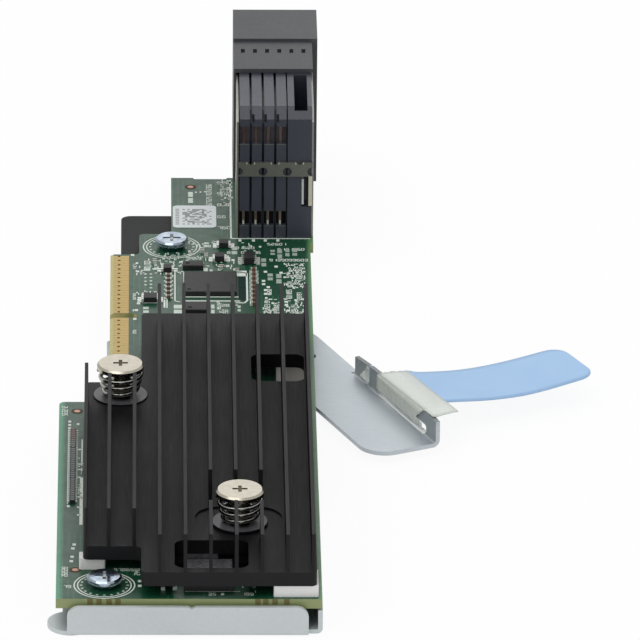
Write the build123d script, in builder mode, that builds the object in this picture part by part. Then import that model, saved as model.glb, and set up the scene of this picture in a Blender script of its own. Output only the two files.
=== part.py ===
from build123d import *
from math import atan2, cos, degrees, radians, sin
import os

# Mezzanine host bus adapter: a long narrow circuit card on a folded base plate, with a finned
# heatsink, an edge connector, a tall backplane connector and an ejector lever. Millimetres.
# X runs across the card, Y from the front flange to the backplane connector, Z up. The origin is
# below the middle of the board's front edge, on the underside of the base plate.

os.makedirs("parts", exist_ok=True)

# Stack of the card, upwards from the underside of the base plate
plate_t = 0.7
board_gap = 3.5
board_t = 1.6
board_z = plate_t + board_gap
board_top = board_z + board_t

# Circuit board outline
board_w = 40.6
board_len = 162.8
board_right = board_w / 2
board_left = -board_w / 2
tongue_left = -12.4
tongue_front = 72.6
tongue_back = board_len - 31.8
shoulder_left = -7.7
shoulder_back = board_len - 23.4
tail_left = -2.45
key_y = tongue_back - 24.7
key_w = 1.6
key_depth = 4.4
edge_bevel = 0.55

# Edge contacts on both faces of the tongue
finger_len = 3.0
finger_w = 0.9
finger_pitch = 1.0
finger_t = 0.05
finger_margin = 1.2

# Screws that hold the board to the base
board_screw_r = 1.45
board_hole_gap = 0.15
thread_gap = 0.05
board_head_r = 2.7
board_head_h = 1.7
front_screw = (-12.9, 4.8)
rear_screw = (-2.4, board_len - 28.75)

# Base plate
plate_inset = 1.0
plate_tongue_inset = 0.4
plate_back = board_len - 13.8
front_flange_y = -1.3
front_flange_left = -18.56
front_flange_w = 36.8
front_flange_h = 4.97
flange_corner_r = 1.8
bend_r = 0.55
side_flange_len = 44.0
side_flange_h = 3.9

# Rear guide plate under the board
guide_left = -10.7
guide_front = tongue_back + 0.4
guide_back = board_len - 12.3
guide_corner_r = 1.6

# Heatsink
sink_gap = 1.9
sink_base_t = 2.3
fin_h = 6.4
fin_t = 0.55
fin_pitch = 3.9
fin_right = 18.94
main_fins = 7
side_fins = 3
sink_right = 19.5
sink_split = -7.3
sink_left = -16.2
main_front = 0.55
main_back = 97.8
fin_end_gap = 2.6
side_front = 9.9
side_back = 70.9
sink_z = board_top + sink_gap
sink_top = sink_z + sink_base_t

# Spring screws that press the heatsink down
front_spring_screw = (7.85, 18.8)
rear_spring_screw = (-10.6, 65.9)
shank_r = 1.6
shank_gap = 0.2
boss_r = 4.3
boss_t = 0.2
spring_head_r = 3.7
spring_head_t = 0.9
spring_head_top = sink_top + 5.6
spring_wire_r = 0.35
spring_top_r = 3.6
spring_bottom_r = 2.5
spring_turns = 3.25
nut_r = 2.9
nut_t = 1.8
fin_clear_front = 13.0
fin_clear_back = 24.1
fin_clear_side = 6.2

# Backplane connector
wafer_pitch = 2.0
wafer_gap = 0.06
wafers = 4
wafer_left = 8.49
rear_face = board_len - 25.0
tower_h = 22.8
tower_chamfer = 1.7
shroud_rear = board_len - 9.4
shroud_step = board_len + 2.4
shroud_reach = 13.05
shroud_front = shroud_step + shroud_reach
shroud_left = 7.8
shroud_right = 20.8
shroud_lift = 3.5
cap_right = 21.7
cap_rise = 0.5
cap_drop = 1.6
wafer_insert = 8.0
shield_t = 0.3

# Ejector lever
pivot = (15.74, tongue_back - 26.99)
lever_angle = -65.45
lever_travel = 24.5
lever_w = 12.0
lever_len = 44.9
lever_t = 0.7
lever_lift = 0.6
lever_z = plate_t + lever_lift
lever_flange_h = 4.15
rivet_r = 2.0
rivet_gap = 0.05
stop_radius = 6.4
stop_pin_r = 1.1
stop_gap = 0.12


def save(piece, name):
    """Name a finished piece and write it to its own file."""
    piece.part.label = name
    export_step(piece.part, f"parts/{name}.step")


# Circuit board: one plate with the tongue of the edge connector on its left side
screw_spots = (front_screw, rear_screw)
spring_spots = (front_spring_screw, rear_spring_screw)
scallop_x = 4.0
scallop_w = 5.6
scallop_depth = 0.5
rail_tab_back = board_len - 21.6
rail_tab_len = 5.8
rail_tab_w = 0.5
board_corner_r = 1.0
shoulder_r = 0.8

with BuildPart() as circuit_board:
    with BuildSketch(Plane.XY.offset(board_z)):
        with BuildLine():
            Polyline(
                (board_left, 0),
                (board_left, tongue_front),
                (tongue_left, tongue_front),
                (tongue_left, tongue_back),
                (shoulder_left, tongue_back),
                (shoulder_left, shoulder_back),
                (tail_left, shoulder_back),
                (tail_left, board_len),
                (board_right, board_len),
                (board_right, 0),
                close=True,
            )
        make_face()
        with Locations((board_right + rail_tab_w / 2, rail_tab_back - rail_tab_len / 2)):
            Rectangle(rail_tab_w, rail_tab_len)
        with Locations((tongue_left, key_y)):
            SlotCenterToCenter(2 * key_depth - key_w, key_w, mode=Mode.SUBTRACT)
        with Locations((scallop_x, board_len)):
            RectangleRounded(scallop_w, 2 * scallop_depth, scallop_depth * 0.8, mode=Mode.SUBTRACT)
    extrude(amount=board_t)
    tongue_edges = circuit_board.edges().filter_by(Axis.Y)
    tongue_edges = tongue_edges.filter_by_position(Axis.X, tongue_left - 0.01, tongue_left + 0.01)
    chamfer(tongue_edges, edge_bevel / 2, edge_bevel)
    upright = circuit_board.edges().filter_by(Axis.Z)
    left_edges = upright.filter_by_position(Axis.X, board_left - 0.1, board_left + 0.1)
    fillet(left_edges.sort_by(Axis.Y)[-1], board_corner_r)
    shoulder_edges = upright.filter_by_position(Axis.X, shoulder_left - 0.1, shoulder_left + 0.1)
    fillet(shoulder_edges, shoulder_r)
    with Locations(*[(x, y, board_top) for x, y in screw_spots]):
        Hole(board_screw_r + board_hole_gap)
    with Locations(*[(x, y, board_top) for x, y in spring_spots]):
        Hole(shank_r + shank_gap)
save(circuit_board, "circuit_board")

# Edge contacts: gold fingers in a row on each face of the tongue, missing at the key notch
finger_x = tongue_left + edge_bevel + finger_len / 2
finger_count = int((tongue_back - tongue_front - 2 * finger_margin) / finger_pitch)
finger_ys = []
for i in range(finger_count):
    y = tongue_back - finger_margin - i * finger_pitch
    if abs(y - key_y) > key_w / 2 + finger_w / 2:
        finger_ys.append(y)

for name, face_z, direction in (("edge_contacts_top", board_top, 1), ("edge_contacts_bottom", board_z, -1)):
    with BuildPart() as edge_contacts:
        with BuildSketch(Plane.XY.offset(face_z)):
            with Locations(*[(finger_x, y) for y in finger_ys]):
                Rectangle(finger_len, finger_w)
        extrude(amount=direction * finger_t)
    save(edge_contacts, name)


# Base plate: one folded steel sheet with a front flange, a short side flange and rounded ears
plate_left = board_left + plate_inset
plate_right = board_right - plate_inset
plate_tongue_left = tongue_left + plate_tongue_inset
plate_tongue_front = tongue_front - plate_inset
plate_rear_left = guide_left + plate_inset
front_ear = (-18.0, 2.75)
front_ear_r = 3.6
tongue_ear_y = tongue_back - 26.0
tongue_ear = (2.4, 6.0)
tongue_ear_reach = 0.9
tail_hole_r = 1.3
tongue_ear_r = 0.9
flange_notch_x = 0.45
flange_notch_w = 1.3
flange_notch_depth = 0.3
side_flange_x = board_right + 0.1

with BuildPart() as base_plate:
    with BuildSketch():
        with BuildLine():
            Polyline(
                (plate_left, front_flange_y + bend_r + plate_t),
                (plate_left, plate_tongue_front),
                (plate_tongue_left, plate_tongue_front),
                (plate_tongue_left, guide_front),
                (plate_rear_left, guide_front),
                (plate_rear_left, plate_back),
                (plate_right, plate_back),
                (plate_right, front_flange_y + bend_r + plate_t),
                close=True,
            )
        make_face()
        with Locations(front_ear):
            Circle(front_ear_r)
        with Locations((plate_tongue_left - tongue_ear_reach + tongue_ear[0] / 2, tongue_ear_y)):
            RectangleRounded(*tongue_ear, tongue_ear_r)
    extrude(amount=plate_t)
    # The front flange turns up ahead of the board
    with BuildSketch(Plane.YZ.offset(front_flange_left)):
        with BuildLine():
            FilletPolyline(
                (front_flange_y + 3 * plate_t + bend_r, plate_t / 2),
                (front_flange_y + plate_t / 2, plate_t / 2),
                (front_flange_y + plate_t / 2, front_flange_h),
                radius=bend_r,
            )
        trace(line_width=plate_t)
    extrude(amount=front_flange_w)
    flange_corners = base_plate.edges().filter_by(Axis.Y).filter_by_position(
        Axis.Z, front_flange_h - 0.01, front_flange_h + 0.01
    )
    fillet(flange_corners, flange_corner_r)
    with BuildSketch(Plane.XZ.offset(-front_flange_y)):
        with BuildLine():
            Polyline(
                (flange_notch_x - flange_notch_w / 2, front_flange_h),
                (flange_notch_x, front_flange_h - flange_notch_depth),
                (flange_notch_x + flange_notch_w / 2, front_flange_h),
                close=True,
            )
        make_face()
    extrude(amount=-plate_t, mode=Mode.SUBTRACT)
    # The side flange turns up along the front of the board's right edge
    with BuildSketch(Plane.XZ.offset(-front_flange_y - bend_r - plate_t)):
        with BuildLine():
            FilletPolyline(
                (side_flange_x - 3 * plate_t, plate_t / 2),
                (side_flange_x - plate_t / 2, plate_t / 2),
                (side_flange_x - plate_t / 2, side_flange_h),
                radius=bend_r,
            )
        trace(line_width=plate_t)
    extrude(amount=-side_flange_len)
    with Locations((*pivot, plate_t)):
        Hole(rivet_r + thread_gap)
    with Locations(*[(x, y, plate_t) for x, y in screw_spots]):
        Hole(tail_hole_r + board_hole_gap)
save(base_plate, "base_plate")


# Rear guide plate: a moulded spacer between the base plate and the board, below the connector
guide_right = board_right - 0.4
tail_pocket = (11.6, 4.6)
tail_pocket_centre = (14.4, rear_face + 9.8)
tail_pocket_depth = 1.2
tail_pocket_r = 0.6
core_w = 10.0
core_pitch = 13.2
core_margin = (3.0, 5.0)
core_roof = 1.2

with BuildPart() as rear_guide_plate:
    with BuildSketch(Plane.XY.offset(plate_t)):
        with Locations(((guide_left + guide_right) / 2, (guide_front + guide_back) / 2)):
            Rectangle(guide_right - guide_left, guide_back - guide_front)
    extrude(amount=board_gap)
    fillet(rear_guide_plate.edges().filter_by(Axis.Z), guide_corner_r)
    with BuildSketch(Plane.XY.offset(board_z)):
        with Locations(tail_pocket_centre):
            RectangleRounded(*tail_pocket, tail_pocket_r)
    extrude(amount=-tail_pocket_depth, mode=Mode.SUBTRACT)
    # Coring from below leaves a rib between two hollows
    core_x = guide_right - core_margin[0] - (core_w + core_pitch) / 2
    core_len = guide_back - guide_front - 2 * core_margin[1]
    with BuildSketch(Plane.XY.offset(plate_t)):
        with Locations((core_x, (guide_front + guide_back) / 2)):
            with GridLocations(core_pitch, 0, 2, 1):
                Rectangle(core_w, core_len)
    extrude(amount=board_gap - tail_pocket_depth - core_roof, mode=Mode.SUBTRACT)
    with Locations((*rear_screw, board_z)):
        Hole(board_screw_r + thread_gap)
save(rear_guide_plate, "rear_guide_plate")


# Front standoff: a hexagonal spacer with a tail that is swaged into the base plate
standoff_r = 2.9
swage_gap = 0.01
standoff_floor = 0.4

with BuildPart() as front_standoff:
    with BuildSketch(Plane.XY.offset(plate_t)):
        with Locations(front_screw):
            RegularPolygon(standoff_r, 6)
    extrude(amount=board_gap)
    with BuildSketch():
        with Locations(front_screw):
            Circle(tail_hole_r + board_hole_gap - swage_gap)
    extrude(amount=plate_t)
    with Locations((*front_screw, board_z)):
        Hole(board_screw_r + thread_gap, depth=board_gap - standoff_floor)
save(front_standoff, "front_standoff")


# Board screws: a wide thin-rimmed head on a short cone, with a cross recess
head_rim_h = 0.75
head_cone_r = 1.9
recess_w = 0.55
recess_len = 2.9
recess_depth = 0.7
screw_len = 2.6
head_top = board_top + board_head_h

with BuildPart() as board_screws:
    for x, y in screw_spots:
        with BuildSketch(Plane.XZ.offset(-y)) as half:
            with BuildLine():
                Polyline(
                    (x, board_top - board_t - screw_len),
                    (x + board_screw_r, board_top - board_t - screw_len),
                    (x + board_screw_r, board_top),
                    (x + head_cone_r, board_top),
                    (x + board_head_r, head_top - head_rim_h),
                    (x + board_head_r, head_top - 0.25),
                    (x + board_head_r - 0.3, head_top),
                    (x, head_top),
                    close=True,
                )
            make_face()
        revolve(axis=Axis((x, y, 0), (0, 0, 1)))
    with BuildSketch(Plane.XY.offset(head_top)):
        with Locations(*screw_spots):
            Rectangle(recess_len, recess_w)
            Rectangle(recess_w, recess_len)
    extrude(amount=-recess_depth, mode=Mode.SUBTRACT)
save(board_screws, "board_screws")


# Heatsink: an extrusion milled to a stepped outline, with windows and pockets round its screws
sink_corner_r = 0.9
window_r = 1.6
rear_window = (10.1, 18.5, 71.4, 81.8)
front_window = (-2.2, 9.1, 2.2, 12.1)
screw_pocket = (0.95, 14.4, 12.9, 24.4)
pocket_depth = 0.3
outer_fin_back = 64.2
inner_fins_back = 60.3
pocket_r = 4.0

with BuildSketch() as sink_outline:
    with BuildLine():
        Polyline(
            (sink_left, side_front),
            (sink_left, side_back),
            (sink_split, side_back),
            (sink_split, main_back),
            (sink_right, main_back),
            (sink_right, main_front),
            (sink_split, main_front),
            (sink_split, side_front),
            close=True,
        )
    make_face()
    fillet(vertices(), sink_corner_r)

with BuildPart() as heatsink:
    with BuildSketch(Plane.XY.offset(sink_z)):
        add(sink_outline.sketch)
        for x0, x1, y0, y1 in (rear_window, front_window):
            with Locations(((x0 + x1) / 2, (y0 + y1) / 2)):
                RectangleRounded(x1 - x0, y1 - y0, window_r, mode=Mode.SUBTRACT)
    extrude(amount=sink_base_t)
    # Fins of the main section
    fin_back = main_back - fin_end_gap
    for i in range(main_fins):
        with BuildSketch(Plane.XY.offset(sink_top)):
            with Locations((fin_right - i * fin_pitch, (main_front + fin_back) / 2)):
                Rectangle(fin_t, fin_back - main_front)
        extrude(amount=fin_h)
    # Fins of the side section end in front of the rear spring screw
    side_fin_xs = [fin_right - (main_fins + i) * fin_pitch for i in range(side_fins - 1)]
    side_fin_ends = [(x, inner_fins_back) for x in side_fin_xs] + [(sink_left + fin_t / 2, outer_fin_back)]
    for x, back in side_fin_ends:
        with BuildSketch(Plane.XY.offset(sink_top)):
            with Locations((x, (side_front + back) / 2)):
                Rectangle(fin_t, back - side_front)
        extrude(amount=fin_h)
    # The milled outline rounds the ends of the outer fins too
    with BuildSketch(Plane.XY.offset(sink_z)):
        add(sink_outline.sketch)
    extrude(amount=sink_base_t + fin_h, mode=Mode.INTERSECT)
    # The fins are cut away round the front spring screw
    with BuildSketch(Plane.XY.offset(sink_top)):
        with Locations((front_spring_screw[0], (fin_clear_front + fin_clear_back) / 2)):
            Rectangle(2 * fin_clear_side, fin_clear_back - fin_clear_front)
    extrude(amount=fin_h, mode=Mode.SUBTRACT)
    # Shallow pockets and raised bosses under both springs
    with BuildSketch(Plane.XY.offset(sink_top)):
        x0, x1, y0, y1 = screw_pocket
        with Locations(((x0 + x1) / 2, (y0 + y1) / 2)):
            RectangleRounded(x1 - x0, y1 - y0, pocket_r)
        with Locations(front_spring_screw):
            Circle(boss_r, mode=Mode.SUBTRACT)
    extrude(amount=-pocket_depth, mode=Mode.SUBTRACT)
    with BuildSketch(Plane.XY.offset(sink_top)):
        with Locations(*spring_spots):
            Circle(boss_r)
    extrude(amount=boss_t)
    with Locations(*[(x, y, sink_top + boss_t) for x, y in spring_spots]):
        Hole(shank_r + shank_gap)
save(heatsink, "heatsink")


# Spring screws of the heatsink: a flat head on a long shoulder, threaded into a nut below the board
spring_head_under = spring_head_top - spring_head_t
nut_z = board_z - nut_t
spring_thread_r = 1.25

with BuildPart() as heatsink_screws:
    for x, y in spring_spots:
        with BuildSketch(Plane.XZ.offset(-y)):
            with BuildLine():
                Polyline(
                    (x, nut_z - 0.3),
                    (x + spring_thread_r, nut_z - 0.3),
                    (x + spring_thread_r, board_z),
                    (x + shank_r, board_z),
                    (x + shank_r, spring_head_under),
                    (x + spring_head_r, spring_head_under),
                    (x + spring_head_r, spring_head_top - 0.3),
                    (x + spring_head_r - 0.3, spring_head_top),
                    (x, spring_head_top),
                    close=True,
                )
            make_face()
        revolve(axis=Axis((x, y, 0), (0, 0, 1)))
    with BuildSketch(Plane.XY.offset(spring_head_top)):
        with Locations(*spring_spots):
            Rectangle(recess_len * 0.8, recess_w)
            Rectangle(recess_w, recess_len * 0.8)
    extrude(amount=-recess_depth, mode=Mode.SUBTRACT)
save(heatsink_screws, "heatsink_screws")


# Conical springs between the bosses of the heatsink and the heads of its screws
spring_foot = sink_top + boss_t + spring_wire_r + 0.02
spring_rise = spring_head_under - spring_wire_r - 0.02 - spring_foot
spring_cone = degrees(atan2(spring_top_r - spring_bottom_r, spring_rise))

with BuildPart() as heatsink_springs:
    for x, y in spring_spots:
        with BuildLine():
            coil = Helix(
                spring_rise / spring_turns,
                spring_rise,
                spring_bottom_r,
                center=(x, y, spring_foot),
                cone_angle=spring_cone,
            )
        with BuildSketch(Plane(origin=coil @ 0, z_dir=coil % 0)):
            RegularPolygon(spring_wire_r, 6)
        sweep(path=coil, is_frenet=True)
save(heatsink_springs, "heatsink_springs")


# Nuts below the board that take the spring screws
with BuildPart() as heatsink_nuts:
    with BuildSketch(Plane.XY.offset(nut_z)):
        with Locations(*spring_spots):
            RegularPolygon(nut_r, 6)
            Circle(spring_thread_r + thread_gap, mode=Mode.SUBTRACT)
    extrude(amount=nut_t)
save(heatsink_nuts, "heatsink_nuts")


# Foam pads that hold the heatsink level on the board
front_right_pad = (12.9, 19.75, 0.7, 6.6)
front_left_pad = (-16.8, -12.8, 10.4, 12.8)
rear_right_pad = (14.1, 19.6, 73.0, 83.0)
pad_corner_r = 0.3

for name, (x0, x1, y0, y1) in (
    ("front_right_pad", front_right_pad),
    ("front_left_pad", front_left_pad),
    ("rear_right_pad", rear_right_pad),
):
    with BuildPart() as pad:
        with BuildSketch(Plane.XY.offset(board_top)):
            with Locations(((x0 + x1) / 2, (y0 + y1) / 2)):
                Rectangle(x1 - x0, y1 - y0)
        extrude(amount=sink_gap)
        fillet(pad.edges().filter_by(Axis.Z), pad_corner_r)
    save(pad, name)


# Controller below the heatsink: a square package, with a thermal pad up to the heatsink
controller_centre = (5.4, 48.0)
controller_w = 27.0
controller_t = 0.9
lid_w = 20.0
lid_t = 0.5
thermal_pad_w = 18.0

with BuildPart() as controller_chip:
    with BuildSketch(Plane.XY.offset(board_top)):
        with Locations(controller_centre):
            Rectangle(controller_w, controller_w)
    extrude(amount=controller_t)
    with BuildSketch(Plane.XY.offset(board_top + controller_t)):
        with Locations(controller_centre):
            RectangleRounded(lid_w, lid_w, 1.0)
    extrude(amount=lid_t)
save(controller_chip, "controller_chip")

with BuildPart() as thermal_pad:
    with BuildSketch(Plane.XY.offset(board_top + controller_t + lid_t)):
        with Locations(controller_centre):
            RectangleRounded(thermal_pad_w, thermal_pad_w, 0.5)
    extrude(amount=sink_gap - controller_t - lid_t)
save(thermal_pad, "thermal_pad")

# Memory chips below the heatsink; one shows through its front window
memory_size = (7.6, 9.4, 1.1)
memory_spots = ((3.0, 7.4), (-3.6, 26.6))

with BuildPart() as memory_chips:
    with BuildSketch(Plane.XY.offset(board_top)):
        with Locations(*memory_spots):
            Rectangle(memory_size[0], memory_size[1])
    extrude(amount=memory_size[2])
save(memory_chips, "memory_chips")

# Chips behind the heatsink, as left and right edges, front and back edges ahead of the board's
# rear edge, and height
bridge_chip_box = (-0.4, 8.1, 48.6, 40.4, 0.85)
clock_chip_box = (-0.6, 2.75, 38.2, 36.3, 0.9)
flash_chip_box = (-0.3, 3.4, 55.6, 52.3, 0.75)
chip_bevel = 0.12
pin_mark_r = 0.35
pin_mark_inset = 0.8
pin_mark_depth = 0.1

for name, (x0, x1, ahead0, ahead1, height) in (
    ("bridge_chip", bridge_chip_box),
    ("clock_chip", clock_chip_box),
    ("flash_chip", flash_chip_box),
):
    y0 = board_len - ahead0
    y1 = board_len - ahead1
    with BuildPart() as chip:
        with BuildSketch(Plane.XY.offset(board_top)):
            with Locations(((x0 + x1) / 2, (y0 + y1) / 2)):
                Rectangle(x1 - x0, y1 - y0)
        extrude(amount=height)
        chamfer(chip.faces().sort_by(Axis.Z)[-1].edges(), chip_bevel)
        with Locations((x0 + pin_mark_inset, y0 + pin_mark_inset, board_top + height)):
            Hole(pin_mark_r, depth=pin_mark_depth)
    save(chip, name)

# Leaded packages: a moulded body with gull-wing leads along its left and right sides
lead_w = 0.36
lead_t = 0.16
body_lift = 0.1
# Each as x, distance ahead of the board's rear edge, body width, body length, height, leads on a
# side, lead pitch
logic_packages = (
    (6.1, 28.5, 1.5, 1.7, 1.0, 3, 0.6),
    (5.4, 34.1, 1.5, 1.7, 1.05, 3, 0.6),
    (-3.1, 38.5, 1.3, 1.5, 0.9, 2, 0.8),
    (-5.9, 50.4, 2.1, 2.0, 0.95, 3, 0.65),
)
regulator_package = (10.2, 34.6, 1.6, 2.9, 1.2, 4, 0.72)
lead_reach = 0.75
lead_knee = 0.2
lead_heel = 0.35

for name, packages in (("logic_chips", logic_packages), ("regulator_chip", (regulator_package,))):
    with BuildPart() as chips:
        for x, ahead, body_w, body_l, height, leads, lead_pitch in packages:
            y = board_len - ahead
            with BuildSketch(Plane.XY.offset(board_top + body_lift)):
                with Locations((x, y)):
                    Rectangle(body_w, body_l)
            extrude(amount=height - body_lift)
            lead_z = board_top + height / 2
            for i in range(leads):
                lead_y = y + (i - (leads - 1) / 2) * lead_pitch
                with BuildSketch(Plane.XZ.offset(-lead_y)):
                    with BuildLine():
                        Polyline(
                            (x - body_w / 2 - lead_reach, board_top + lead_t / 2),
                            (x - body_w / 2 - lead_heel, board_top + lead_t / 2),
                            (x - body_w / 2 - lead_knee, lead_z),
                            (x + body_w / 2 + lead_knee, lead_z),
                            (x + body_w / 2 + lead_heel, board_top + lead_t / 2),
                            (x + body_w / 2 + lead_reach, board_top + lead_t / 2),
                        )
                    trace(line_width=lead_t)
                extrude(amount=lead_w / 2, both=True)
    save(chips, name)

# Surface-mount capacitors and resistor arrays, each a small block soldered to the board
cap_size = (0.95, 0.62, 0.55)
# Each column as x, distance of its front end ahead of the board's rear edge, count and pitch
cap_columns = (
    (-2.95, 49.4, 6, 1.7),
    (10.95, 52.2, 9, 1.72),
)
loose_caps = ((-6.4, 36.2), (-5.2, 35.2), (3.2, 32.9), (2.6, 30.8), (8.2, 39.0), (5.6, 37.6))
front_caps = ((-3.96, 3.49), (-2.13, 3.5))

with BuildPart() as ceramic_capacitors:
    with BuildSketch(Plane.XY.offset(board_top)):
        for x, ahead, count, pitch in cap_columns:
            with Locations((x, board_len - ahead + (count - 1) * pitch / 2)):
                with GridLocations(0, pitch, 1, count):
                    Rectangle(cap_size[0], cap_size[1])
        with Locations(*[(x, board_len - ahead) for x, ahead in loose_caps], *front_caps):
            Rectangle(cap_size[1], cap_size[0])
    extrude(amount=cap_size[2])
save(ceramic_capacitors, "ceramic_capacitors")

array_x = -18.0
array_w = 0.9
array_h = 0.55
# Front and back edge of each array
array_spans = ((34.4, 42.6), (43.0, 45.2), (45.6, 53.6), (54.6, 61.4))

with BuildPart() as resistor_arrays:
    with BuildSketch(Plane.XY.offset(board_top)):
        for y0, y1 in array_spans:
            with Locations((array_x, (y0 + y1) / 2)):
                Rectangle(array_w, y1 - y0)
    extrude(amount=array_h)
save(resistor_arrays, "resistor_arrays")

# Paper label behind the rear screw
label_box = (-2.2, 4.95, board_len - 20.9, board_len - 11.8)
label_t = 0.1
label_corner_r = 0.8

with BuildPart() as label:
    with BuildSketch(Plane.XY.offset(board_top)):
        x0, x1, y0, y1 = label_box
        with Locations(((x0 + x1) / 2, (y0 + y1) / 2)):
            RectangleRounded(x1 - x0, y1 - y0, label_corner_r)
    extrude(amount=label_t)
save(label, "label")


# Backplane connector: moulded wafers side by side, each with contact windows in its rear face
wafer_back = shroud_rear + wafer_insert
wafer_z = board_top
tower_top = board_top + tower_h
lower_window = (2.27, 4.82)
upper_window = (16.75, 19.83)
window_depth = 0.9
wafer_w = wafer_pitch - wafer_gap
rim_w = wafer_pitch - 0.4
rim_t = 1.2
corner_cut = (0.4, 1.3)
corner_cut_depth = 1.0
contact_shift = -0.15

for i in range(wafers):
    wafer_x = wafer_left + (i + 0.5) * wafer_pitch
    with BuildPart() as wafer:
        # A narrow rim runs down the rear and along the top, so gaps show between the wafers there
        for width, inset in ((rim_w, 0), (wafer_w, rim_t)):
            with BuildSketch(Plane.YZ.offset(wafer_x - width / 2)):
                with BuildLine():
                    Polyline(
                        (rear_face + inset, wafer_z),
                        (rear_face + inset, tower_top - tower_chamfer - inset),
                        (rear_face + inset + tower_chamfer, tower_top - inset),
                        (wafer_back, tower_top - inset),
                        (wafer_back, wafer_z),
                        close=True,
                    )
                make_face()
            extrude(amount=width)
        with BuildSketch(Plane.XZ.offset(-rear_face)):
            for low, high in (lower_window, upper_window):
                with Locations((wafer_x, wafer_z + (low + high) / 2)):
                    Rectangle(rim_w, high - low)
        extrude(amount=-window_depth, mode=Mode.SUBTRACT)
        # Each wafer but the first has a small cut in the corner of its chamfer
        if i > 0:
            with BuildSketch(Plane.XZ.offset(-rear_face)):
                with Locations((wafer_x - rim_w / 2, tower_top - tower_chamfer)):
                    Rectangle(*corner_cut, align=(Align.MIN, Align.CENTER))
            extrude(amount=-corner_cut_depth, mode=Mode.SUBTRACT)
    save(wafer, f"signal_wafer_{i + 1}")

# Guide block: a double-wide moulding with a guide slot in its top and a notch in its outer corner
block_left = wafer_left + wafers * wafer_pitch
block_right = block_left + 2 * wafer_pitch
guide_slot = (17.6, 19.75, rear_face + 1.1, rear_face + 14.8)
guide_slot_depth = 12.0
corner_notch = (18.8, 5.6, 11.1)
notch_depth = 1.6

with BuildPart() as guide_block:
    with BuildSketch(Plane.YZ.offset(block_left + wafer_gap / 2)):
        with BuildLine():
            Polyline(
                (rear_face, wafer_z),
                (rear_face, tower_top - tower_chamfer),
                (rear_face + tower_chamfer, tower_top),
                (wafer_back, tower_top),
                (wafer_back, wafer_z),
                close=True,
            )
        make_face()
    extrude(amount=block_right - block_left - wafer_gap)
    with BuildSketch(Plane.XY.offset(tower_top)):
        x0, x1, y0, y1 = guide_slot
        with Locations(((x0 + x1) / 2, (y0 + y1) / 2)):
            Rectangle(x1 - x0, y1 - y0)
    extrude(amount=-guide_slot_depth, mode=Mode.SUBTRACT)
    with BuildSketch(Plane.XZ.offset(-rear_face)):
        with Locations((corner_notch[0], wafer_z + corner_notch[1])):
            Rectangle(
                block_right - corner_notch[0] + 1.0,
                corner_notch[2] - corner_notch[1],
                align=(Align.MIN, Align.MIN),
            )
    extrude(amount=-notch_depth, mode=Mode.SUBTRACT)
save(guide_block, "guide_block")

# Contact leads: one bright strip at the back of each of the wafers' windows
strip_w = 0.42
strip_t = 0.2

with BuildPart() as contact_strips:
    with BuildSketch(Plane.XZ.offset(-(rear_face + window_depth))):
        for i in range(wafers):
            for low, high in (lower_window, upper_window):
                strip_x = wafer_left + (i + 0.5) * wafer_pitch + contact_shift
                with Locations((strip_x, wafer_z + (low + high) / 2)):
                    Rectangle(strip_w, high - low)
    extrude(amount=strip_t)
save(contact_strips, "contact_strips")

# Stiffener: a metal strip across the rear face, with round holes and V notches in turn, and a leg
# that runs down its right end
band_low = 11.15
band_high = 13.6
band_t = 0.45
band_hole_r = 0.73
band_hole_z = 12.0
band_notch_w = 1.2
band_notch_depth = 0.45
band_left = wafer_left - 0.1
band_right = block_right + 0.1
band_leg_w = 0.65
band_leg_low = 5.9

with BuildPart() as stiffener_strip:
    with BuildSketch(Plane.XZ.offset(-rear_face)):
        with Locations(((band_left + band_right) / 2, wafer_z + (band_low + band_high) / 2)):
            Rectangle(band_right - band_left, band_high - band_low)
        with Locations((band_right, wafer_z + band_leg_low)):
            Rectangle(band_leg_w, band_high - band_leg_low, align=(Align.MAX, Align.MIN))
        for i in range(wafers + 3):
            groove_x = wafer_left + i * wafer_pitch
            if i % 2 == 0:
                with Locations((groove_x, wafer_z + band_hole_z)):
                    Circle(band_hole_r, mode=Mode.SUBTRACT)
            else:
                with BuildLine():
                    Polyline(
                        (groove_x - band_notch_w / 2, wafer_z + band_high),
                        (groove_x, wafer_z + band_high - band_notch_depth),
                        (groove_x + band_notch_w / 2, wafer_z + band_high),
                        close=True,
                    )
                make_face(mode=Mode.SUBTRACT)
    extrude(amount=band_t)
save(stiffener_strip, "stiffener_strip")

# Side shields: thin metal plates on both outer sides of the wafers
shield_gap = 0.02
shield_margin = 0.5
block_face = block_right - wafer_gap / 2

for name, x0 in (
    ("side_shield_left", wafer_left - shield_gap - shield_t),
    ("side_shield_right", block_face + shield_gap),
):
    with BuildPart() as shield:
        with BuildSketch(Plane.YZ.offset(x0)):
            with BuildLine():
                Polyline(
                    (rear_face + 0.1, wafer_z),
                    (rear_face + 0.1, tower_top - tower_chamfer - shield_margin),
                    (rear_face + 0.1 + tower_chamfer, tower_top - shield_margin),
                    (wafer_back, tower_top - shield_margin),
                    (wafer_back, wafer_z),
                    close=True,
                )
            make_face()
        extrude(amount=shield_t)
    save(shield, name)

# Shroud: a moulded hood over the wafers, with the contact field in its front face
shroud_gap = 0.05
shroud_wall_top = 0.75
shroud_edge_r = 0.5
cap_top = tower_top + shroud_wall_top
cavity_left = wafer_left - shield_gap - shield_t - shroud_gap
cavity_right = block_face + shield_gap + shield_t + shroud_gap
latch_slot = (0.65, 1.7)
latch_slot_y = shroud_step - 4.1
latch_slot_depth = 0.5
latch_slots = 6
contact_rows = 8
contact_pitch = 2.25
contact_hole = (0.95, 1.1)
contact_hole_depth = 4.0
contact_low = 3.4
power_slot = (1.1, 6.6)
power_slot_pitch = 8.6

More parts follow.
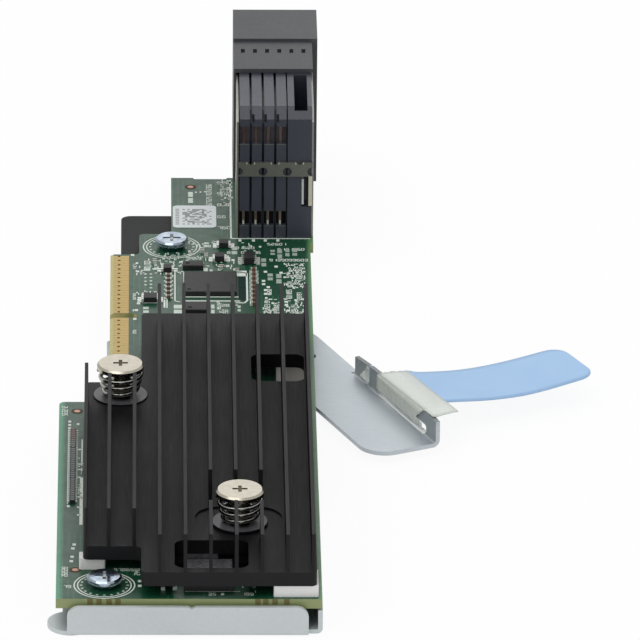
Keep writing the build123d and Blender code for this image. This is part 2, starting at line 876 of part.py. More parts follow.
with BuildPart() as connector_shroud:
    with BuildSketch(Plane.XZ.offset(-shroud_rear)):
        with Locations((shroud_left, board_top + shroud_lift)):
            Rectangle(
                shroud_right - shroud_left, cap_top - board_top - shroud_lift, align=(Align.MIN, Align.MIN)
            )
    extrude(amount=-(shroud_step - shroud_rear))
    with BuildSketch(Plane.XZ.offset(-shroud_step)):
        with Locations((shroud_left, board_top - cap_drop)):
            Rectangle(
                cap_right - shroud_left, cap_top + cap_rise - board_top + cap_drop, align=(Align.MIN, Align.MIN)
            )
    extrude(amount=-(shroud_front - shroud_step))
    fillet(connector_shroud.faces().sort_by(Axis.Y)[-1].edges(), shroud_edge_r)
    # Cavity that takes the wafers, open towards the rear and down to the board
    with BuildSketch(Plane.XZ.offset(-shroud_rear)):
        with Locations((cavity_left, board_top)):
            Rectangle(
                cavity_right - cavity_left, tower_h + shroud_gap, align=(Align.MIN, Align.MIN)
            )
    extrude(amount=-(wafer_insert + shroud_gap), mode=Mode.SUBTRACT)
    # Slots in the top, one over each contact column
    with BuildSketch(Plane.XY.offset(cap_top)):
        with Locations((wafer_left + latch_slots * wafer_pitch / 2 + contact_shift, latch_slot_y)):
            with GridLocations(wafer_pitch, 0, latch_slots, 1):
                Rectangle(*latch_slot)
    extrude(amount=-latch_slot_depth, mode=Mode.SUBTRACT)
    # Contact field in the mating face
    field_z = board_top + contact_low + (contact_rows - 1) * contact_pitch / 2
    with BuildSketch(Plane.XZ.offset(-shroud_front)):
        with Locations((wafer_left + wafers * wafer_pitch / 2, field_z)):
            with GridLocations(wafer_pitch, contact_pitch, wafers, contact_rows):
                Rectangle(*contact_hole)
        with Locations(((block_left + block_right) / 2, field_z)):
            with GridLocations(wafer_pitch, power_slot_pitch, 2, 2):
                Rectangle(*power_slot)
    extrude(amount=contact_hole_depth, mode=Mode.SUBTRACT)
save(connector_shroud, "connector_shroud")

# Press-fit tails of the connector below the board, in the pocket of the guide plate
tail_w = 0.4
tail_len = 0.8
tail_rows = 4
tail_row_pitch = 1.0

with BuildPart() as connector_tails:
    with BuildSketch(Plane.XY.offset(board_z)):
        with Locations((wafer_left + latch_slots * wafer_pitch / 2, tail_pocket_centre[1])):
            with GridLocations(wafer_pitch, tail_row_pitch, latch_slots, tail_rows):
                Rectangle(tail_w, tail_w)
    extrude(amount=-tail_len)
save(connector_tails, "connector_tails")


# Ejector lever: a sheet lever on its own plane, with u along it and v towards its flange
lever_plane = Plane(
    origin=(pivot[0], pivot[1], lever_z),
    x_dir=(cos(radians(lever_angle)), sin(radians(lever_angle)), 0),
    z_dir=(0, 0, 1),
)
lever_half = lever_w / 2
lever_bend_r = 0.5
lever_corner_r = 4.5
flange_start = lever_len - 29.6
flange_gap = (lever_len - 24.9, lever_len - 24.3)
strap_slot = (lever_len - 21.1, lever_len - 3.5)
strap_slot_z = (0.75, 2.3)
strap_slot_r = 0.6
# Top edge of the flange, from its short first piece to its far corner, as heights over the sheet's
# underside; the crest lies ahead of the end
first_piece_rise = (3.6, 4.0)
grip_rise = (4.05, 4.8, 4.3)
grip_crest = 4.0
sheet_step = 0.5
bend_v = lever_half - lever_t - lever_bend_r
lever_top = lever_z + lever_t
flange_top = lever_t + lever_flange_h

stop_half_angle = lever_travel / 2
stop_slot_r = stop_pin_r + stop_gap
stop_angle = lever_angle - stop_half_angle

with BuildPart() as ejector_lever:
    with BuildSketch(lever_plane):
        with BuildLine():
            Polyline(
                (0, -lever_half),
                (lever_len, -lever_half),
                (lever_len, bend_v),
                (flange_start - sheet_step, bend_v),
                (flange_start - sheet_step, lever_half),
                (0, lever_half),
                close=True,
            )
        make_face()
        Circle(lever_half)
        fillet(vertices().filter_by(lambda v: v.X > lever_len - 0.1 and v.Y < 0), lever_corner_r)
        Circle(rivet_r + rivet_gap, mode=Mode.SUBTRACT)
        # Curved slot that runs on the stop pin and limits the swing
        with BuildLine():
            stop_path = CenterArc((0, 0), stop_radius, -stop_half_angle, 2 * stop_half_angle)
            offset(stop_path, amount=stop_slot_r, mode=Mode.REPLACE)
        make_face(mode=Mode.SUBTRACT)
    extrude(amount=lever_t)
    # Grip flange turned up along the outer edge
    flange_plane = Plane(
        origin=lever_plane.from_local_coords((flange_start, 0, 0)),
        x_dir=lever_plane.y_dir,
        z_dir=lever_plane.x_dir,
    )
    with BuildSketch(flange_plane):
        with BuildLine():
            FilletPolyline(
                (bend_v - 2.0, lever_t / 2),
                (lever_half - lever_t / 2, lever_t / 2),
                (lever_half - lever_t / 2, flange_top),
                radius=lever_bend_r + lever_t / 2,
            )
        trace(line_width=lever_t)
    extrude(amount=lever_len - flange_start)
    # Face of the flange: its gap, its strap slot and its sloping top edge, all through the sheet
    face_plane = Plane(
        origin=lever_plane.from_local_coords((0, lever_half, 0)),
        x_dir=lever_plane.x_dir,
        z_dir=-lever_plane.y_dir,
    )
    with BuildSketch(face_plane):
        with Locations(((flange_gap[0] + flange_gap[1]) / 2, lever_t + flange_top)):
            Rectangle(flange_gap[1] - flange_gap[0], 2 * flange_top)
        with Locations((sum(strap_slot) / 2, sum(strap_slot_z) / 2)):
            RectangleRounded(
                strap_slot[1] - strap_slot[0], strap_slot_z[1] - strap_slot_z[0], strap_slot_r
            )
        with BuildLine():
            Polyline(
                (flange_start - 0.1, flange_top + 0.1),
                (flange_start - 0.1, first_piece_rise[0]),
                (flange_gap[0], first_piece_rise[1]),
                (flange_gap[1], grip_rise[0]),
                (lever_len - grip_crest, grip_rise[1]),
                (lever_len + 0.1, grip_rise[2]),
                (lever_len + 0.1, flange_top + 0.1),
                close=True,
            )
        make_face()
    extrude(amount=lever_t + lever_bend_r + 0.01, mode=Mode.SUBTRACT)
save(ejector_lever, "ejector_lever")

# Pivot rivet, stop pin and washer, fixed to the base plate
washer_r = 3.6
washer_t = lever_lift - 0.1
rivet_head_r = 3.3
rivet_head_t = 0.6
rivet_head_gap = 0.1
pin_top = lever_top + 0.5
stop_x = pivot[0] + stop_radius * cos(radians(stop_angle))
stop_y = pivot[1] + stop_radius * sin(radians(stop_angle))

with BuildPart() as lever_rivet:
    with BuildSketch(Plane.XZ.offset(-pivot[1])):
        with BuildLine():
            Polyline(
                (pivot[0], 0),
                (pivot[0] + rivet_r, 0),
                (pivot[0] + rivet_r, lever_top + rivet_head_gap),
                (pivot[0] + rivet_head_r, lever_top + rivet_head_gap),
                (pivot[0] + rivet_head_r - 0.4, lever_top + rivet_head_gap + rivet_head_t),
                (pivot[0], lever_top + rivet_head_gap + rivet_head_t),
                close=True,
            )
        make_face()
    revolve(axis=Axis((*pivot, 0), (0, 0, 1)))
save(lever_rivet, "lever_rivet")

with BuildPart() as lever_washer:
    with BuildSketch(Plane.XY.offset(plate_t)):
        with Locations(pivot):
            Circle(washer_r)
            Circle(rivet_r + thread_gap, mode=Mode.SUBTRACT)
    extrude(amount=washer_t)
save(lever_washer, "lever_washer")

with BuildPart() as lever_stop_pin:
    with BuildSketch(Plane.XY.offset(plate_t)):
        with Locations((stop_x, stop_y)):
            Circle(stop_pin_r)
    extrude(amount=pin_top - plate_t)
    chamfer(lever_stop_pin.faces().sort_by(Axis.Z)[-1].edges(), 0.2)
save(lever_stop_pin, "lever_stop_pin")

# Clear strap: a film loop through the slot and over the flange, with a tail that holds the tab
film_t = 0.2
film_gap = 0.2
strap_u = (lever_len - 20.0, lever_len - 5.3)
strap_tail_u = (lever_len - 20.0, lever_len - 1.4)
strap_bend_r = 0.3
bar_in = lever_half - lever_t - film_gap - film_t / 2
bar_out = lever_half + film_gap + film_t / 2
bar_top = flange_top + film_gap + film_t / 2
bar_under = strap_slot_z[1] - film_gap - film_t / 2
tail_root = (lever_half + 2.1, flange_top - 0.6)
tail_end = (lever_half + 4.8, flange_top - 0.85)
tail_overlap = (tail_root[0] - 0.3, tail_root[1] + 0.02)

strap_plane = Plane(
    origin=lever_plane.from_local_coords((strap_u[0], 0, 0)),
    x_dir=lever_plane.y_dir,
    z_dir=lever_plane.x_dir,
)
with BuildPart() as tab_strap:
    with BuildSketch(strap_plane):
        with BuildLine():
            FilletPolyline(
                tail_root,
                (bar_out, bar_top),
                (bar_in, bar_top),
                (bar_in, bar_under),
                (bar_out, bar_under),
                tail_root,
                radius=strap_bend_r,
            )
        trace(line_width=film_t)
    extrude(amount=strap_u[1] - strap_u[0])
    with BuildSketch(strap_plane):
        with BuildLine():
            Line(tail_overlap, tail_end)
        trace(line_width=2 * film_t)
    extrude(amount=strap_tail_u[1] - strap_tail_u[0])
save(tab_strap, "tab_strap")

# Pull tab: a long strip of plastic film that droops and lifts again towards its round end
tab_t = 0.35
tab_u = (lever_len - 19.9, lever_len - 6.9)
tab_end_v = 37.2
tab_mid_v = 22.0
tab_mid_z = 2.62
tab_end_z = 3.5
tab_corner_r = 2.8
tab_butt = 0.02

tab_plane = Plane(
    origin=lever_plane.from_local_coords((tab_u[0], 0, 0)),
    x_dir=lever_plane.y_dir,
    z_dir=lever_plane.x_dir,
)
with BuildPart() as pull_tab:
    with BuildSketch(tab_plane):
        with BuildLine():
            Spline(
                (tail_end[0] + tab_butt, tail_end[1]),
                (tab_mid_v, tab_mid_z),
                (tab_end_v, tab_end_z),
            )
        trace(line_width=tab_t)
    extrude(amount=tab_u[1] - tab_u[0])
    short_edges = pull_tab.edges().sort_by(SortBy.LENGTH)[:4]
    fillet(short_edges.sort_by_distance((*pivot, lever_z))[-2:], tab_corner_r)
save(pull_tab, "pull_tab")
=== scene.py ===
"""Looks of a mezzanine host bus adapter: materials, printed marks, film tab and small parts."""

import math
import random

import bmesh
import bpy
from mathutils import Matrix, Vector


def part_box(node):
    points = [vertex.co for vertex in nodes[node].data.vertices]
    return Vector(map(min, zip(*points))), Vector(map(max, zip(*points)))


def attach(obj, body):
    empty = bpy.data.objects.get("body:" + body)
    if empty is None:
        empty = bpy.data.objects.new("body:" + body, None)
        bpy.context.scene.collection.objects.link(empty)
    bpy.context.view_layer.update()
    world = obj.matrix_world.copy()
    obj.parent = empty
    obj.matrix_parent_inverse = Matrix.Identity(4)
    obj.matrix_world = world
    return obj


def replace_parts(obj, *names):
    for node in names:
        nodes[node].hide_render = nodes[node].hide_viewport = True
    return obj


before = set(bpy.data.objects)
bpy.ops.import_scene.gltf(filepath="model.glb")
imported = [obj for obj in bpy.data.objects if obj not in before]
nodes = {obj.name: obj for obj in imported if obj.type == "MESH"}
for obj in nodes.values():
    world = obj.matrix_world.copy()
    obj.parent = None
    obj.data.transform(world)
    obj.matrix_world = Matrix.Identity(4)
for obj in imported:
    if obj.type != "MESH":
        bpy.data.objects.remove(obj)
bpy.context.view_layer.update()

MM = 0.001


def extent(node):
    """Lowest and highest corners of a node, in millimetres."""
    low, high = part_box(node)
    return low / MM, high / MM


board_low, board_high = extent("circuit_board")
board_top = board_high.z
solder_level = board_top + 0.005


def srgb(red, green, blue):
    """A screen colour of 0 to 255 as the linear colour that a shader takes."""
    def linear(value):
        value /= 255
        return value / 12.92 if value <= 0.04045 else ((value + 0.055) / 1.055) ** 2.4
    return (linear(red), linear(green), linear(blue), 1.0)


# Camera: a long lens low in front of the card, a little to its left
def aim_camera():
    """The photograph's view, from an elevation, a turn and a roll about a point on the board."""
    elevation, turn, roll = math.radians(23.94), math.radians(1.035), math.radians(0.512)
    target = Vector((21.454, 104.704, board_top)) * MM
    distance = 1.7252
    focal_pixels = 10702
    frame_pixels = 640
    forward = Vector((
        math.sin(turn) * math.cos(elevation),
        math.cos(turn) * math.cos(elevation),
        -math.sin(elevation),
    ))
    level = Vector((math.cos(turn), -math.sin(turn), 0))
    rise = level.cross(forward)
    right = math.cos(roll) * level + math.sin(roll) * rise
    up = -math.sin(roll) * level + math.cos(roll) * rise
    data = bpy.data.cameras.new("camera")
    data.sensor_width = 36
    data.lens = data.sensor_width * focal_pixels / frame_pixels
    data.clip_end = 20
    camera = bpy.data.objects.new("camera", data)
    camera.matrix_world = Matrix.Translation(target - distance * forward) @ Matrix(
        (right, up, -forward)
    ).transposed().to_4x4()
    bpy.context.scene.collection.objects.link(camera)
    bpy.context.scene.camera = camera


# Shader building blocks
def group_sockets(group, inputs, outputs):
    """Adds named sockets to a node group; each is a name, a kind and a default."""
    for name, kind, value in inputs:
        socket = group.interface.new_socket(name, in_out="INPUT", socket_type="NodeSocket" + kind)
        socket.default_value = value
    for name, kind in outputs:
        group.interface.new_socket(name, in_out="OUTPUT", socket_type="NodeSocket" + kind)
    source = group.nodes.new("NodeGroupInput")
    target = group.nodes.new("NodeGroupOutput")
    return source.outputs, target.inputs


def math_node(tree, operation, first, second=None):
    """A Math node whose inputs are sockets or numbers; gives its output socket."""
    node = tree.nodes.new("ShaderNodeMath")
    node.operation = operation
    for socket, value in zip(node.inputs, (first, second)):
        connect(tree, value, socket)
    return node.outputs[0]


def vector_node(tree, operation, first, second):
    """A Vector Math node on two sockets or vectors; gives its vector output."""
    node = tree.nodes.new("ShaderNodeVectorMath")
    node.operation = operation
    connect(tree, first, node.inputs[0])
    connect(tree, second, node.inputs[1])
    return node.outputs[0]


def connect(tree, value, socket):
    """Links a socket to a socket, or sets a plain value on it."""
    if value is None:
        return
    if isinstance(value, bpy.types.NodeSocket):
        tree.links.new(value, socket)
    else:
        socket.default_value = value


def mix_colors(tree, factor, first, second):
    """A colour Mix node; gives its result socket."""
    node = tree.nodes.new("ShaderNodeMix")
    node.data_type = "RGBA"
    connect(tree, factor, node.inputs[0])
    connect(tree, first, node.inputs[6])
    connect(tree, second, node.inputs[7])
    return node.outputs[2]


def noise(tree, vector, scale, detail=3.0):
    """A noise texture on a vector socket; gives its value between about 0 and 1."""
    node = tree.nodes.new("ShaderNodeTexNoise")
    node.inputs["Scale"].default_value = scale
    node.inputs["Detail"].default_value = detail
    node.inputs["Roughness"].default_value = 0.55
    tree.links.new(vector, node.inputs["Vector"])
    return node.outputs["Fac"]


def spread(tree, value, low, high, to_low=0.0, to_high=1.0):
    """A clamped Map Range; gives its output socket."""
    node = tree.nodes.new("ShaderNodeMapRange")
    for name, number in (("From Min", low), ("From Max", high), ("To Min", to_low), ("To Max", to_high)):
        connect(tree, number, node.inputs[name])
    tree.links.new(value, node.inputs["Value"])
    return node.outputs[0]


def bump(tree, height, distance):
    """A Bump node; gives its normal."""
    node = tree.nodes.new("ShaderNodeBump")
    connect(tree, distance, node.inputs["Distance"])
    tree.links.new(height, node.inputs["Height"])
    return node.outputs[0]


def axis_outputs(tree, place):
    """X, Y and Z of a vector socket."""
    split = tree.nodes.new("ShaderNodeSeparateXYZ")
    tree.links.new(place, split.inputs[0])
    return split.outputs


def object_place(tree):
    """The place on the object in its own coordinates."""
    return tree.nodes.new("ShaderNodeTexCoord").outputs["Object"]


def surface_normal(tree):
    """The way the surface faces in the object's own directions."""
    return tree.nodes.new("ShaderNodeTexCoord").outputs["Normal"]


def grain_group():
    """Grain along any axis: colour, roughness and relief from noise stretched by Scale."""
    group = bpy.data.node_groups.new("surface_grain", "ShaderNodeTree")
    given, result = group_sockets(
        group,
        (
            ("Color", "Color", (0.5, 0.5, 0.5, 1)),
            ("Other Color", "Color", (0.4, 0.4, 0.4, 1)),
            ("Scale", "Vector", (1000, 1000, 1000)),
            ("Amount", "Float", 0.5),
            ("Roughness", "Float", 0.5),
            ("Roughness Spread", "Float", 0.1),
            ("Relief", "Float", 0.00001),
        ),
        (("Color", "Color"), ("Roughness", "Float"), ("Normal", "Vector")),
    )
    place = object_place(group)
    grain = noise(group, vector_node(group, "MULTIPLY", place, given["Scale"]), 1.0)
    cloud = noise(group, place, 60.0, 2.0)
    mask = spread(group, math_node(group, "ADD", math_node(group, "MULTIPLY", grain, 0.7),
                                   math_node(group, "MULTIPLY", cloud, 0.3)), 0.32, 0.68)
    factor = math_node(group, "MULTIPLY", mask, given["Amount"])
    connect(group, mix_colors(group, factor, given["Color"], given["Other Color"]), result["Color"])
    swing = math_node(group, "MULTIPLY", math_node(group, "SUBTRACT", mask, 0.5), given["Roughness Spread"])
    connect(group, math_node(group, "ADD", given["Roughness"], swing), result["Roughness"])
    connect(group, bump(group, grain, given["Relief"]), result["Normal"])
    return group


GRAIN = grain_group()


def finish(name, color, other, scale, amount=0.5, roughness=0.5, spread_of_roughness=0.12,
           relief=0.008, metallic=0.0, specular=0.5, coat=0.0, alpha=1.0):
    """A material whose colour, roughness and relief come from the grain group. Sizes in millimetres."""
    material = bpy.data.materials.new(name)
    material.use_nodes = True
    tree = material.node_tree
    shader = tree.nodes["Principled BSDF"]
    grain = tree.nodes.new("ShaderNodeGroup")
    grain.node_tree = GRAIN
    grain.inputs["Color"].default_value = color
    grain.inputs["Other Color"].default_value = other
    grain.inputs["Scale"].default_value = tuple(1 / (size * MM) for size in scale)
    grain.inputs["Amount"].default_value = amount
    grain.inputs["Roughness"].default_value = roughness
    grain.inputs["Roughness Spread"].default_value = spread_of_roughness
    grain.inputs["Relief"].default_value = relief * MM
    for socket, target in (("Color", "Base Color"), ("Roughness", "Roughness"), ("Normal", "Normal")):
        tree.links.new(grain.outputs[socket], shader.inputs[target])
    shader.inputs["Metallic"].default_value = metallic
    shader.inputs["Specular IOR Level"].default_value = specular
    shader.inputs["Coat Weight"].default_value = coat
    shader.inputs["Coat Roughness"].default_value = 0.15
    shader.inputs["Alpha"].default_value = alpha
    return material


plated_steel = finish("plated_steel", srgb(203, 209, 210), srgb(190, 197, 199), (0.25, 3, 0.25),
                      roughness=0.5, metallic=0.45)
lever_steel = finish("lever_steel", srgb(193, 200, 205), srgb(179, 187, 193), (2.0, 0.3, 0.4),
                     roughness=0.45, metallic=0.7)
black_plastic = finish("black_plastic", srgb(38, 39, 40), srgb(29, 30, 31), (0.3, 0.3, 0.3), roughness=0.6,
                       specular=0.2)
nickel = finish("nickel", srgb(188, 182, 168), srgb(158, 152, 139), (1.2, 1.2, 1.2), amount=0.35,
                roughness=0.24, spread_of_roughness=0.12, relief=0.002, metallic=1.0)
bright_steel = finish("bright_steel", srgb(180, 192, 206), srgb(104, 114, 126), (1.1, 1.1, 1.1), amount=0.75,
                      roughness=0.14, spread_of_roughness=0.1, relief=0.002, metallic=1.0)
spring_steel = finish("spring_steel", srgb(176, 176, 170), srgb(140, 140, 135), (0.3, 0.3, 0.3),
                      roughness=0.2, relief=0.002, metallic=1.0)
gold = finish("gold", srgb(181, 156, 92), srgb(167, 142, 78), (0.5, 0.2, 0.5), amount=0.5,
              roughness=0.36, relief=0.002, metallic=0.7)
anodised = finish("anodised", srgb(28, 28, 30), srgb(22, 22, 24), (0.12, 6, 0.12), amount=0.4, roughness=0.5,
                  spread_of_roughness=0.1, relief=0.003, specular=0.17)
white_foam = finish("white_foam", srgb(232, 232, 230), srgb(212, 212, 210), (0.25, 0.25, 0.25),
                    roughness=0.9, relief=0.05)
grey_foam = finish("grey_foam", srgb(172, 170, 163), srgb(146, 143, 137), (0.25, 0.25, 0.25),
                   roughness=0.85, relief=0.05)
chip_epoxy = finish("chip_epoxy", srgb(38, 37, 39), srgb(27, 27, 29), (0.12, 0.12, 0.12),
                    roughness=0.5, relief=0.012, specular=0.4)
ceramic_brown = finish("ceramic_brown", srgb(118, 84, 70), srgb(88, 60, 50), (0.2, 0.2, 0.2),
                       roughness=0.4)
paper = finish("paper", srgb(216, 222, 224), srgb(206, 212, 215), (0.3, 0.3, 0.3), roughness=0.6,
               relief=0.004)
wafer_plastic = finish("wafer_plastic", srgb(57, 60, 71), srgb(45, 47, 57), (0.3, 0.3, 0.3), roughness=0.38)
shroud_plastic = finish("shroud_plastic", srgb(66, 67, 71), srgb(56, 57, 61), (0.25, 0.25, 0.25),
                        roughness=0.5)
contact_metal = finish("contact_metal", srgb(168, 140, 134), srgb(120, 100, 96), (0.1, 0.1, 1.0),
                       roughness=0.3, metallic=1.0)
# Strip metal also gives the painted highlights on the windows' lips
strip_metal = finish("strip_metal", srgb(114, 117, 108), srgb(92, 95, 87), (0.3, 0.3, 0.3),
                     roughness=0.42, metallic=0.6)
# Warm steel gives the painted glints beside the stiffener's notches and the leg's face
warm_steel = finish("warm_steel", srgb(214, 209, 190), srgb(190, 185, 168), (0.3, 0.3, 0.3), roughness=0.35,
                    metallic=0.5)
shield_metal = finish("shield_metal", srgb(158, 158, 150), srgb(132, 134, 124), (0.3, 0.3, 0.3),
                      roughness=0.4, metallic=0.7)
nylon = finish("nylon", srgb(226, 226, 220), srgb(212, 212, 206), (0.3, 0.3, 0.3), roughness=0.5)
blue_film = finish("blue_film", srgb(160, 194, 230), srgb(154, 188, 225), (6, 6, 6), roughness=0.45,
                   relief=0.002, specular=0.3)
clear_film = finish("clear_film", srgb(224, 229, 222), srgb(214, 219, 212), (1.6, 1.6, 1.6), roughness=0.3,
                    alpha=0.8, relief=0.004)
# The flap and the crumpled end are whitish and nearly opaque: partly the milky look of creased tape, partly
# painted light for light that shines through them from behind
flap_film = finish("flap_film", srgb(236, 241, 233), srgb(198, 205, 196), (1.4, 1.4, 1.4), roughness=0.25,
                   alpha=0.94, relief=0.008)
crumpled_film = finish("crumpled_film", srgb(246, 252, 250), srgb(222, 230, 228), (0.5, 0.5, 0.5),
                       roughness=0.15, alpha=0.6, relief=0.05, specular=0.8)
# Painted light: a white strip in the flange's slot stands in for the bright floor seen through it
painted_slot_light = finish("painted_slot_light", srgb(250, 251, 249), srgb(238, 240, 237), (0.5, 0.5, 0.5), roughness=0.5)
bare_laminate = finish("bare_laminate", srgb(178, 152, 98), srgb(160, 136, 86), (0.3, 0.3, 0.3),
                       roughness=0.5)
dark_brown = finish("dark_brown", srgb(66, 52, 32), srgb(46, 36, 24), (0.2, 0.2, 0.2), roughness=0.7)
window_shade = finish("window_shade", srgb(50, 43, 48), srgb(36, 32, 37), (0.3, 0.3, 0.6), roughness=0.6)
part_grey = finish("part_grey", srgb(104, 108, 108), srgb(78, 82, 82), (0.3, 0.3, 0.3), roughness=0.4)
white_ink = finish("white_ink", srgb(222, 228, 220), srgb(196, 206, 196), (0.15, 0.15, 0.15), amount=0.6,
                   roughness=0.6, relief=0.002)
tin = finish("tin", srgb(196, 208, 198), srgb(150, 168, 154), (0.2, 0.2, 0.2), roughness=0.35, relief=0.01,
             metallic=0.3)
copper = finish("copper", srgb(190, 142, 120), srgb(164, 118, 98), (0.3, 0.3, 0.3), roughness=0.35,
                metallic=0.6)
dark_mask = finish("dark_mask", srgb(18, 46, 42), srgb(12, 36, 33), (0.6, 0.6, 0.6), roughness=0.5,
                   specular=0.1)
bare_edge = finish("bare_edge", srgb(112, 106, 60), srgb(84, 78, 42), (0.2, 0.2, 0.2), roughness=0.6)
deep_black = finish("deep_black", srgb(12, 12, 13), srgb(8, 8, 9), (0.4, 0.4, 0.4), roughness=0.8,
                    specular=0.1)
label_ink = finish("label_ink", srgb(128, 132, 132), srgb(158, 162, 161), (0.28, 0.28, 0.28), amount=0.9,
                   roughness=0.6, relief=0.001)
# Solder also gives the painted highlights in the screws' cross recesses
solder = finish("solder", srgb(232, 235, 230), srgb(200, 206, 200), (0.2, 0.2, 0.2), roughness=0.3,
                relief=0.01, metallic=0.4)
worn_face = finish("worn_face", srgb(92, 92, 95), srgb(78, 78, 81), (0.5, 0.5, 0.5), roughness=0.4)
lapped_epoxy = finish("lapped_epoxy", srgb(150, 150, 153), srgb(92, 92, 96), (0.7, 0.7, 0.7), amount=0.9,
                      roughness=0.45)
solder_mask = finish("solder_mask", srgb(22, 71, 49), srgb(15, 57, 39), (1.5, 1.5, 1.5), roughness=0.34,
                     specular=0.42, coat=0.05)


def dress_board():
    """Faint tracks under the board's mask, and the cut laminate on its sides."""
    tree = solder_mask.node_tree
    shader = tree.nodes["Principled BSDF"]
    place = object_place(tree)
    track_pitch = 0.9
    tracks = tree.nodes.new("ShaderNodeTexWave")
    tracks.bands_direction = "X"
    band_at_scale_one = 0.314
    tracks.inputs["Scale"].default_value = band_at_scale_one / (track_pitch * MM)
    tracks.inputs["Distortion"].default_value = 0.0
    tree.links.new(place, tracks.inputs["Vector"])
    lines = spread(tree, tracks.outputs["Fac"], 0.82, 0.9)
    areas = spread(tree, noise(tree, place, 130.0, 1.0), 0.5, 0.54)
    own = shader.inputs["Base Color"].links[0].from_socket
    drawn = mix_colors(tree, math_node(tree, "MULTIPLY", math_node(tree, "MULTIPLY", lines, areas), 0.5),
                       own, srgb(44, 104, 76))
    # Painted highlight: the mask is lighter green towards the board's long edges
    across = axis_outputs(tree, place)[0]
    right_edge_highlight = spread(tree, across, (board_high.x - 1.3) * MM, (board_high.x - 0.5) * MM, 0.0, 0.75)
    left_edge_highlight = spread(tree, across, (board_low.x + 1.1) * MM, (board_low.x + 0.4) * MM, 0.0, 0.65)
    drawn = mix_colors(tree, right_edge_highlight, drawn, srgb(104, 152, 100))
    drawn = mix_colors(tree, left_edge_highlight, drawn, srgb(76, 160, 122))
    normal = axis_outputs(tree, surface_normal(tree))
    side = spread(tree, math_node(tree, "ABSOLUTE", normal[2]), 0.97, 0.9)
    grain = noise(tree, vector_node(tree, "MULTIPLY", place, (600, 600, 9000)), 1.0)
    # The front edge is greenish; the tongue's bevel and its key slot are yellow
    finger_end, tongue_start = -9.3, 68
    on_tongue = spread(tree, axis_outputs(tree, place)[1], tongue_start * MM, (tongue_start + 2) * MM)
    in_slot = spread(tree, across, finger_end * MM, (finger_end - 1) * MM)
    on_bevel = spread(tree, math_node(tree, "ABSOLUTE", normal[0]), 0.3, 0.4)
    yellow = math_node(tree, "MULTIPLY", math_node(tree, "MAXIMUM", on_bevel, in_slot), on_tongue)
    laminate = mix_colors(tree, yellow, mix_colors(tree, grain, srgb(150, 161, 113), srgb(126, 135, 90)),
                          mix_colors(tree, grain, srgb(196, 186, 132), srgb(163, 157, 104)))
    connect(tree, mix_colors(tree, side, drawn, laminate), shader.inputs["Base Color"])
    coat = spread(tree, side, 0.0, 1.0, 0.05, 0.0)
    connect(tree, coat, shader.inputs["Coat Weight"])


def darken_sheared_edges():
    """The lever's flange top is darker on its upward faces, above a height of 3.4 mm."""
    tree = lever_steel.node_tree
    shader = tree.nodes["Principled BSDF"]
    place = object_place(tree)
    upward = axis_outputs(tree, surface_normal(tree))[2]
    over_sheet = 3.4
    cut = math_node(tree, "MULTIPLY", spread(tree, upward, 0.6, 0.8),
                    spread(tree, axis_outputs(tree, place)[2], over_sheet * MM, (over_sheet + 0.4) * MM))
    own = shader.inputs["Base Color"].links[0].from_socket
    connect(tree, mix_colors(tree, cut, own, srgb(132, 136, 138)), shader.inputs["Base Color"])


dress_board()
darken_sheared_edges()

looks = {
    plated_steel: ("base_plate",),
    lever_steel: ("ejector_lever",),
    black_plastic: ("rear_guide_plate",),
    nickel: ("heatsink_screws", "heatsink_nuts", "front_standoff", "lever_rivet", "lever_stop_pin"),
    bright_steel: ("board_screws",),
    spring_steel: ("heatsink_springs",),
    gold: ("edge_contacts_top", "edge_contacts_bottom"),
    anodised: ("heatsink",),
    white_foam: ("front_right_pad", "front_left_pad"),
    grey_foam: ("rear_right_pad", "thermal_pad"),
    chip_epoxy: ("controller_chip", "memory_chips", "bridge_chip", "clock_chip", "flash_chip",
                 "logic_chips", "regulator_chip", "resistor_arrays"),
    ceramic_brown: ("ceramic_capacitors",),
    paper: ("label",),
    wafer_plastic: ("signal_wafer_1", "signal_wafer_2", "signal_wafer_3", "signal_wafer_4", "guide_block"),
    shroud_plastic: ("connector_shroud",),
    contact_metal: ("contact_strips", "connector_tails"),
    strip_metal: ("stiffener_strip",),
    shield_metal: ("side_shield_left", "side_shield_right"),
    nylon: ("lever_washer",),
    blue_film: ("pull_tab",),
    clear_film: ("tab_strap",),
    solder_mask: ("circuit_board",),
}
for material, names in looks.items():
    for name in names:
        nodes[name].data.materials.clear()
        nodes[name].data.materials.append(material)


# Small broken edges on the solids, in millimetres
edge_breaks = {
    0.12: ("base_plate", "ejector_lever", "heatsink_screws", "connector_shroud", "front_right_pad",
           "front_left_pad", "rear_right_pad"),
    0.08: ("heatsink", "signal_wafer_1", "signal_wafer_2", "signal_wafer_3", "signal_wafer_4", "guide_block",
           "board_screws", "rear_guide_plate", "stiffener_strip"),
    0.05: ("bridge_chip", "clock_chip", "flash_chip", "memory_chips", "ceramic_capacitors",
           "resistor_arrays", "side_shield_left", "side_shield_right", "circuit_board"),
}
for width, names in edge_breaks.items():
    for name in names:
        soften = nodes[name].modifiers.new("edge_break", "BEVEL")
        soften.width = width * MM
        soften.segments = 2
        soften.limit_method = "ANGLE"
        soften.angle_limit = math.radians(40)
        soften.harden_normals = True


# Shapes in mesh code
def new_piece(name, shape, materials, body="card", smooth=False):
    """Turns a bmesh into a piece that rides on a body."""
    bmesh.ops.recalc_face_normals(shape, faces=shape.faces)
    mesh = bpy.data.meshes.new(name)
    shape.to_mesh(mesh)
    shape.free()
    for material in materials:
        mesh.materials.append(material)
    if smooth:
        mesh.shade_smooth()
    piece = bpy.data.objects.new(name, mesh)
    bpy.context.scene.collection.objects.link(piece)
    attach(piece, body)
    return piece


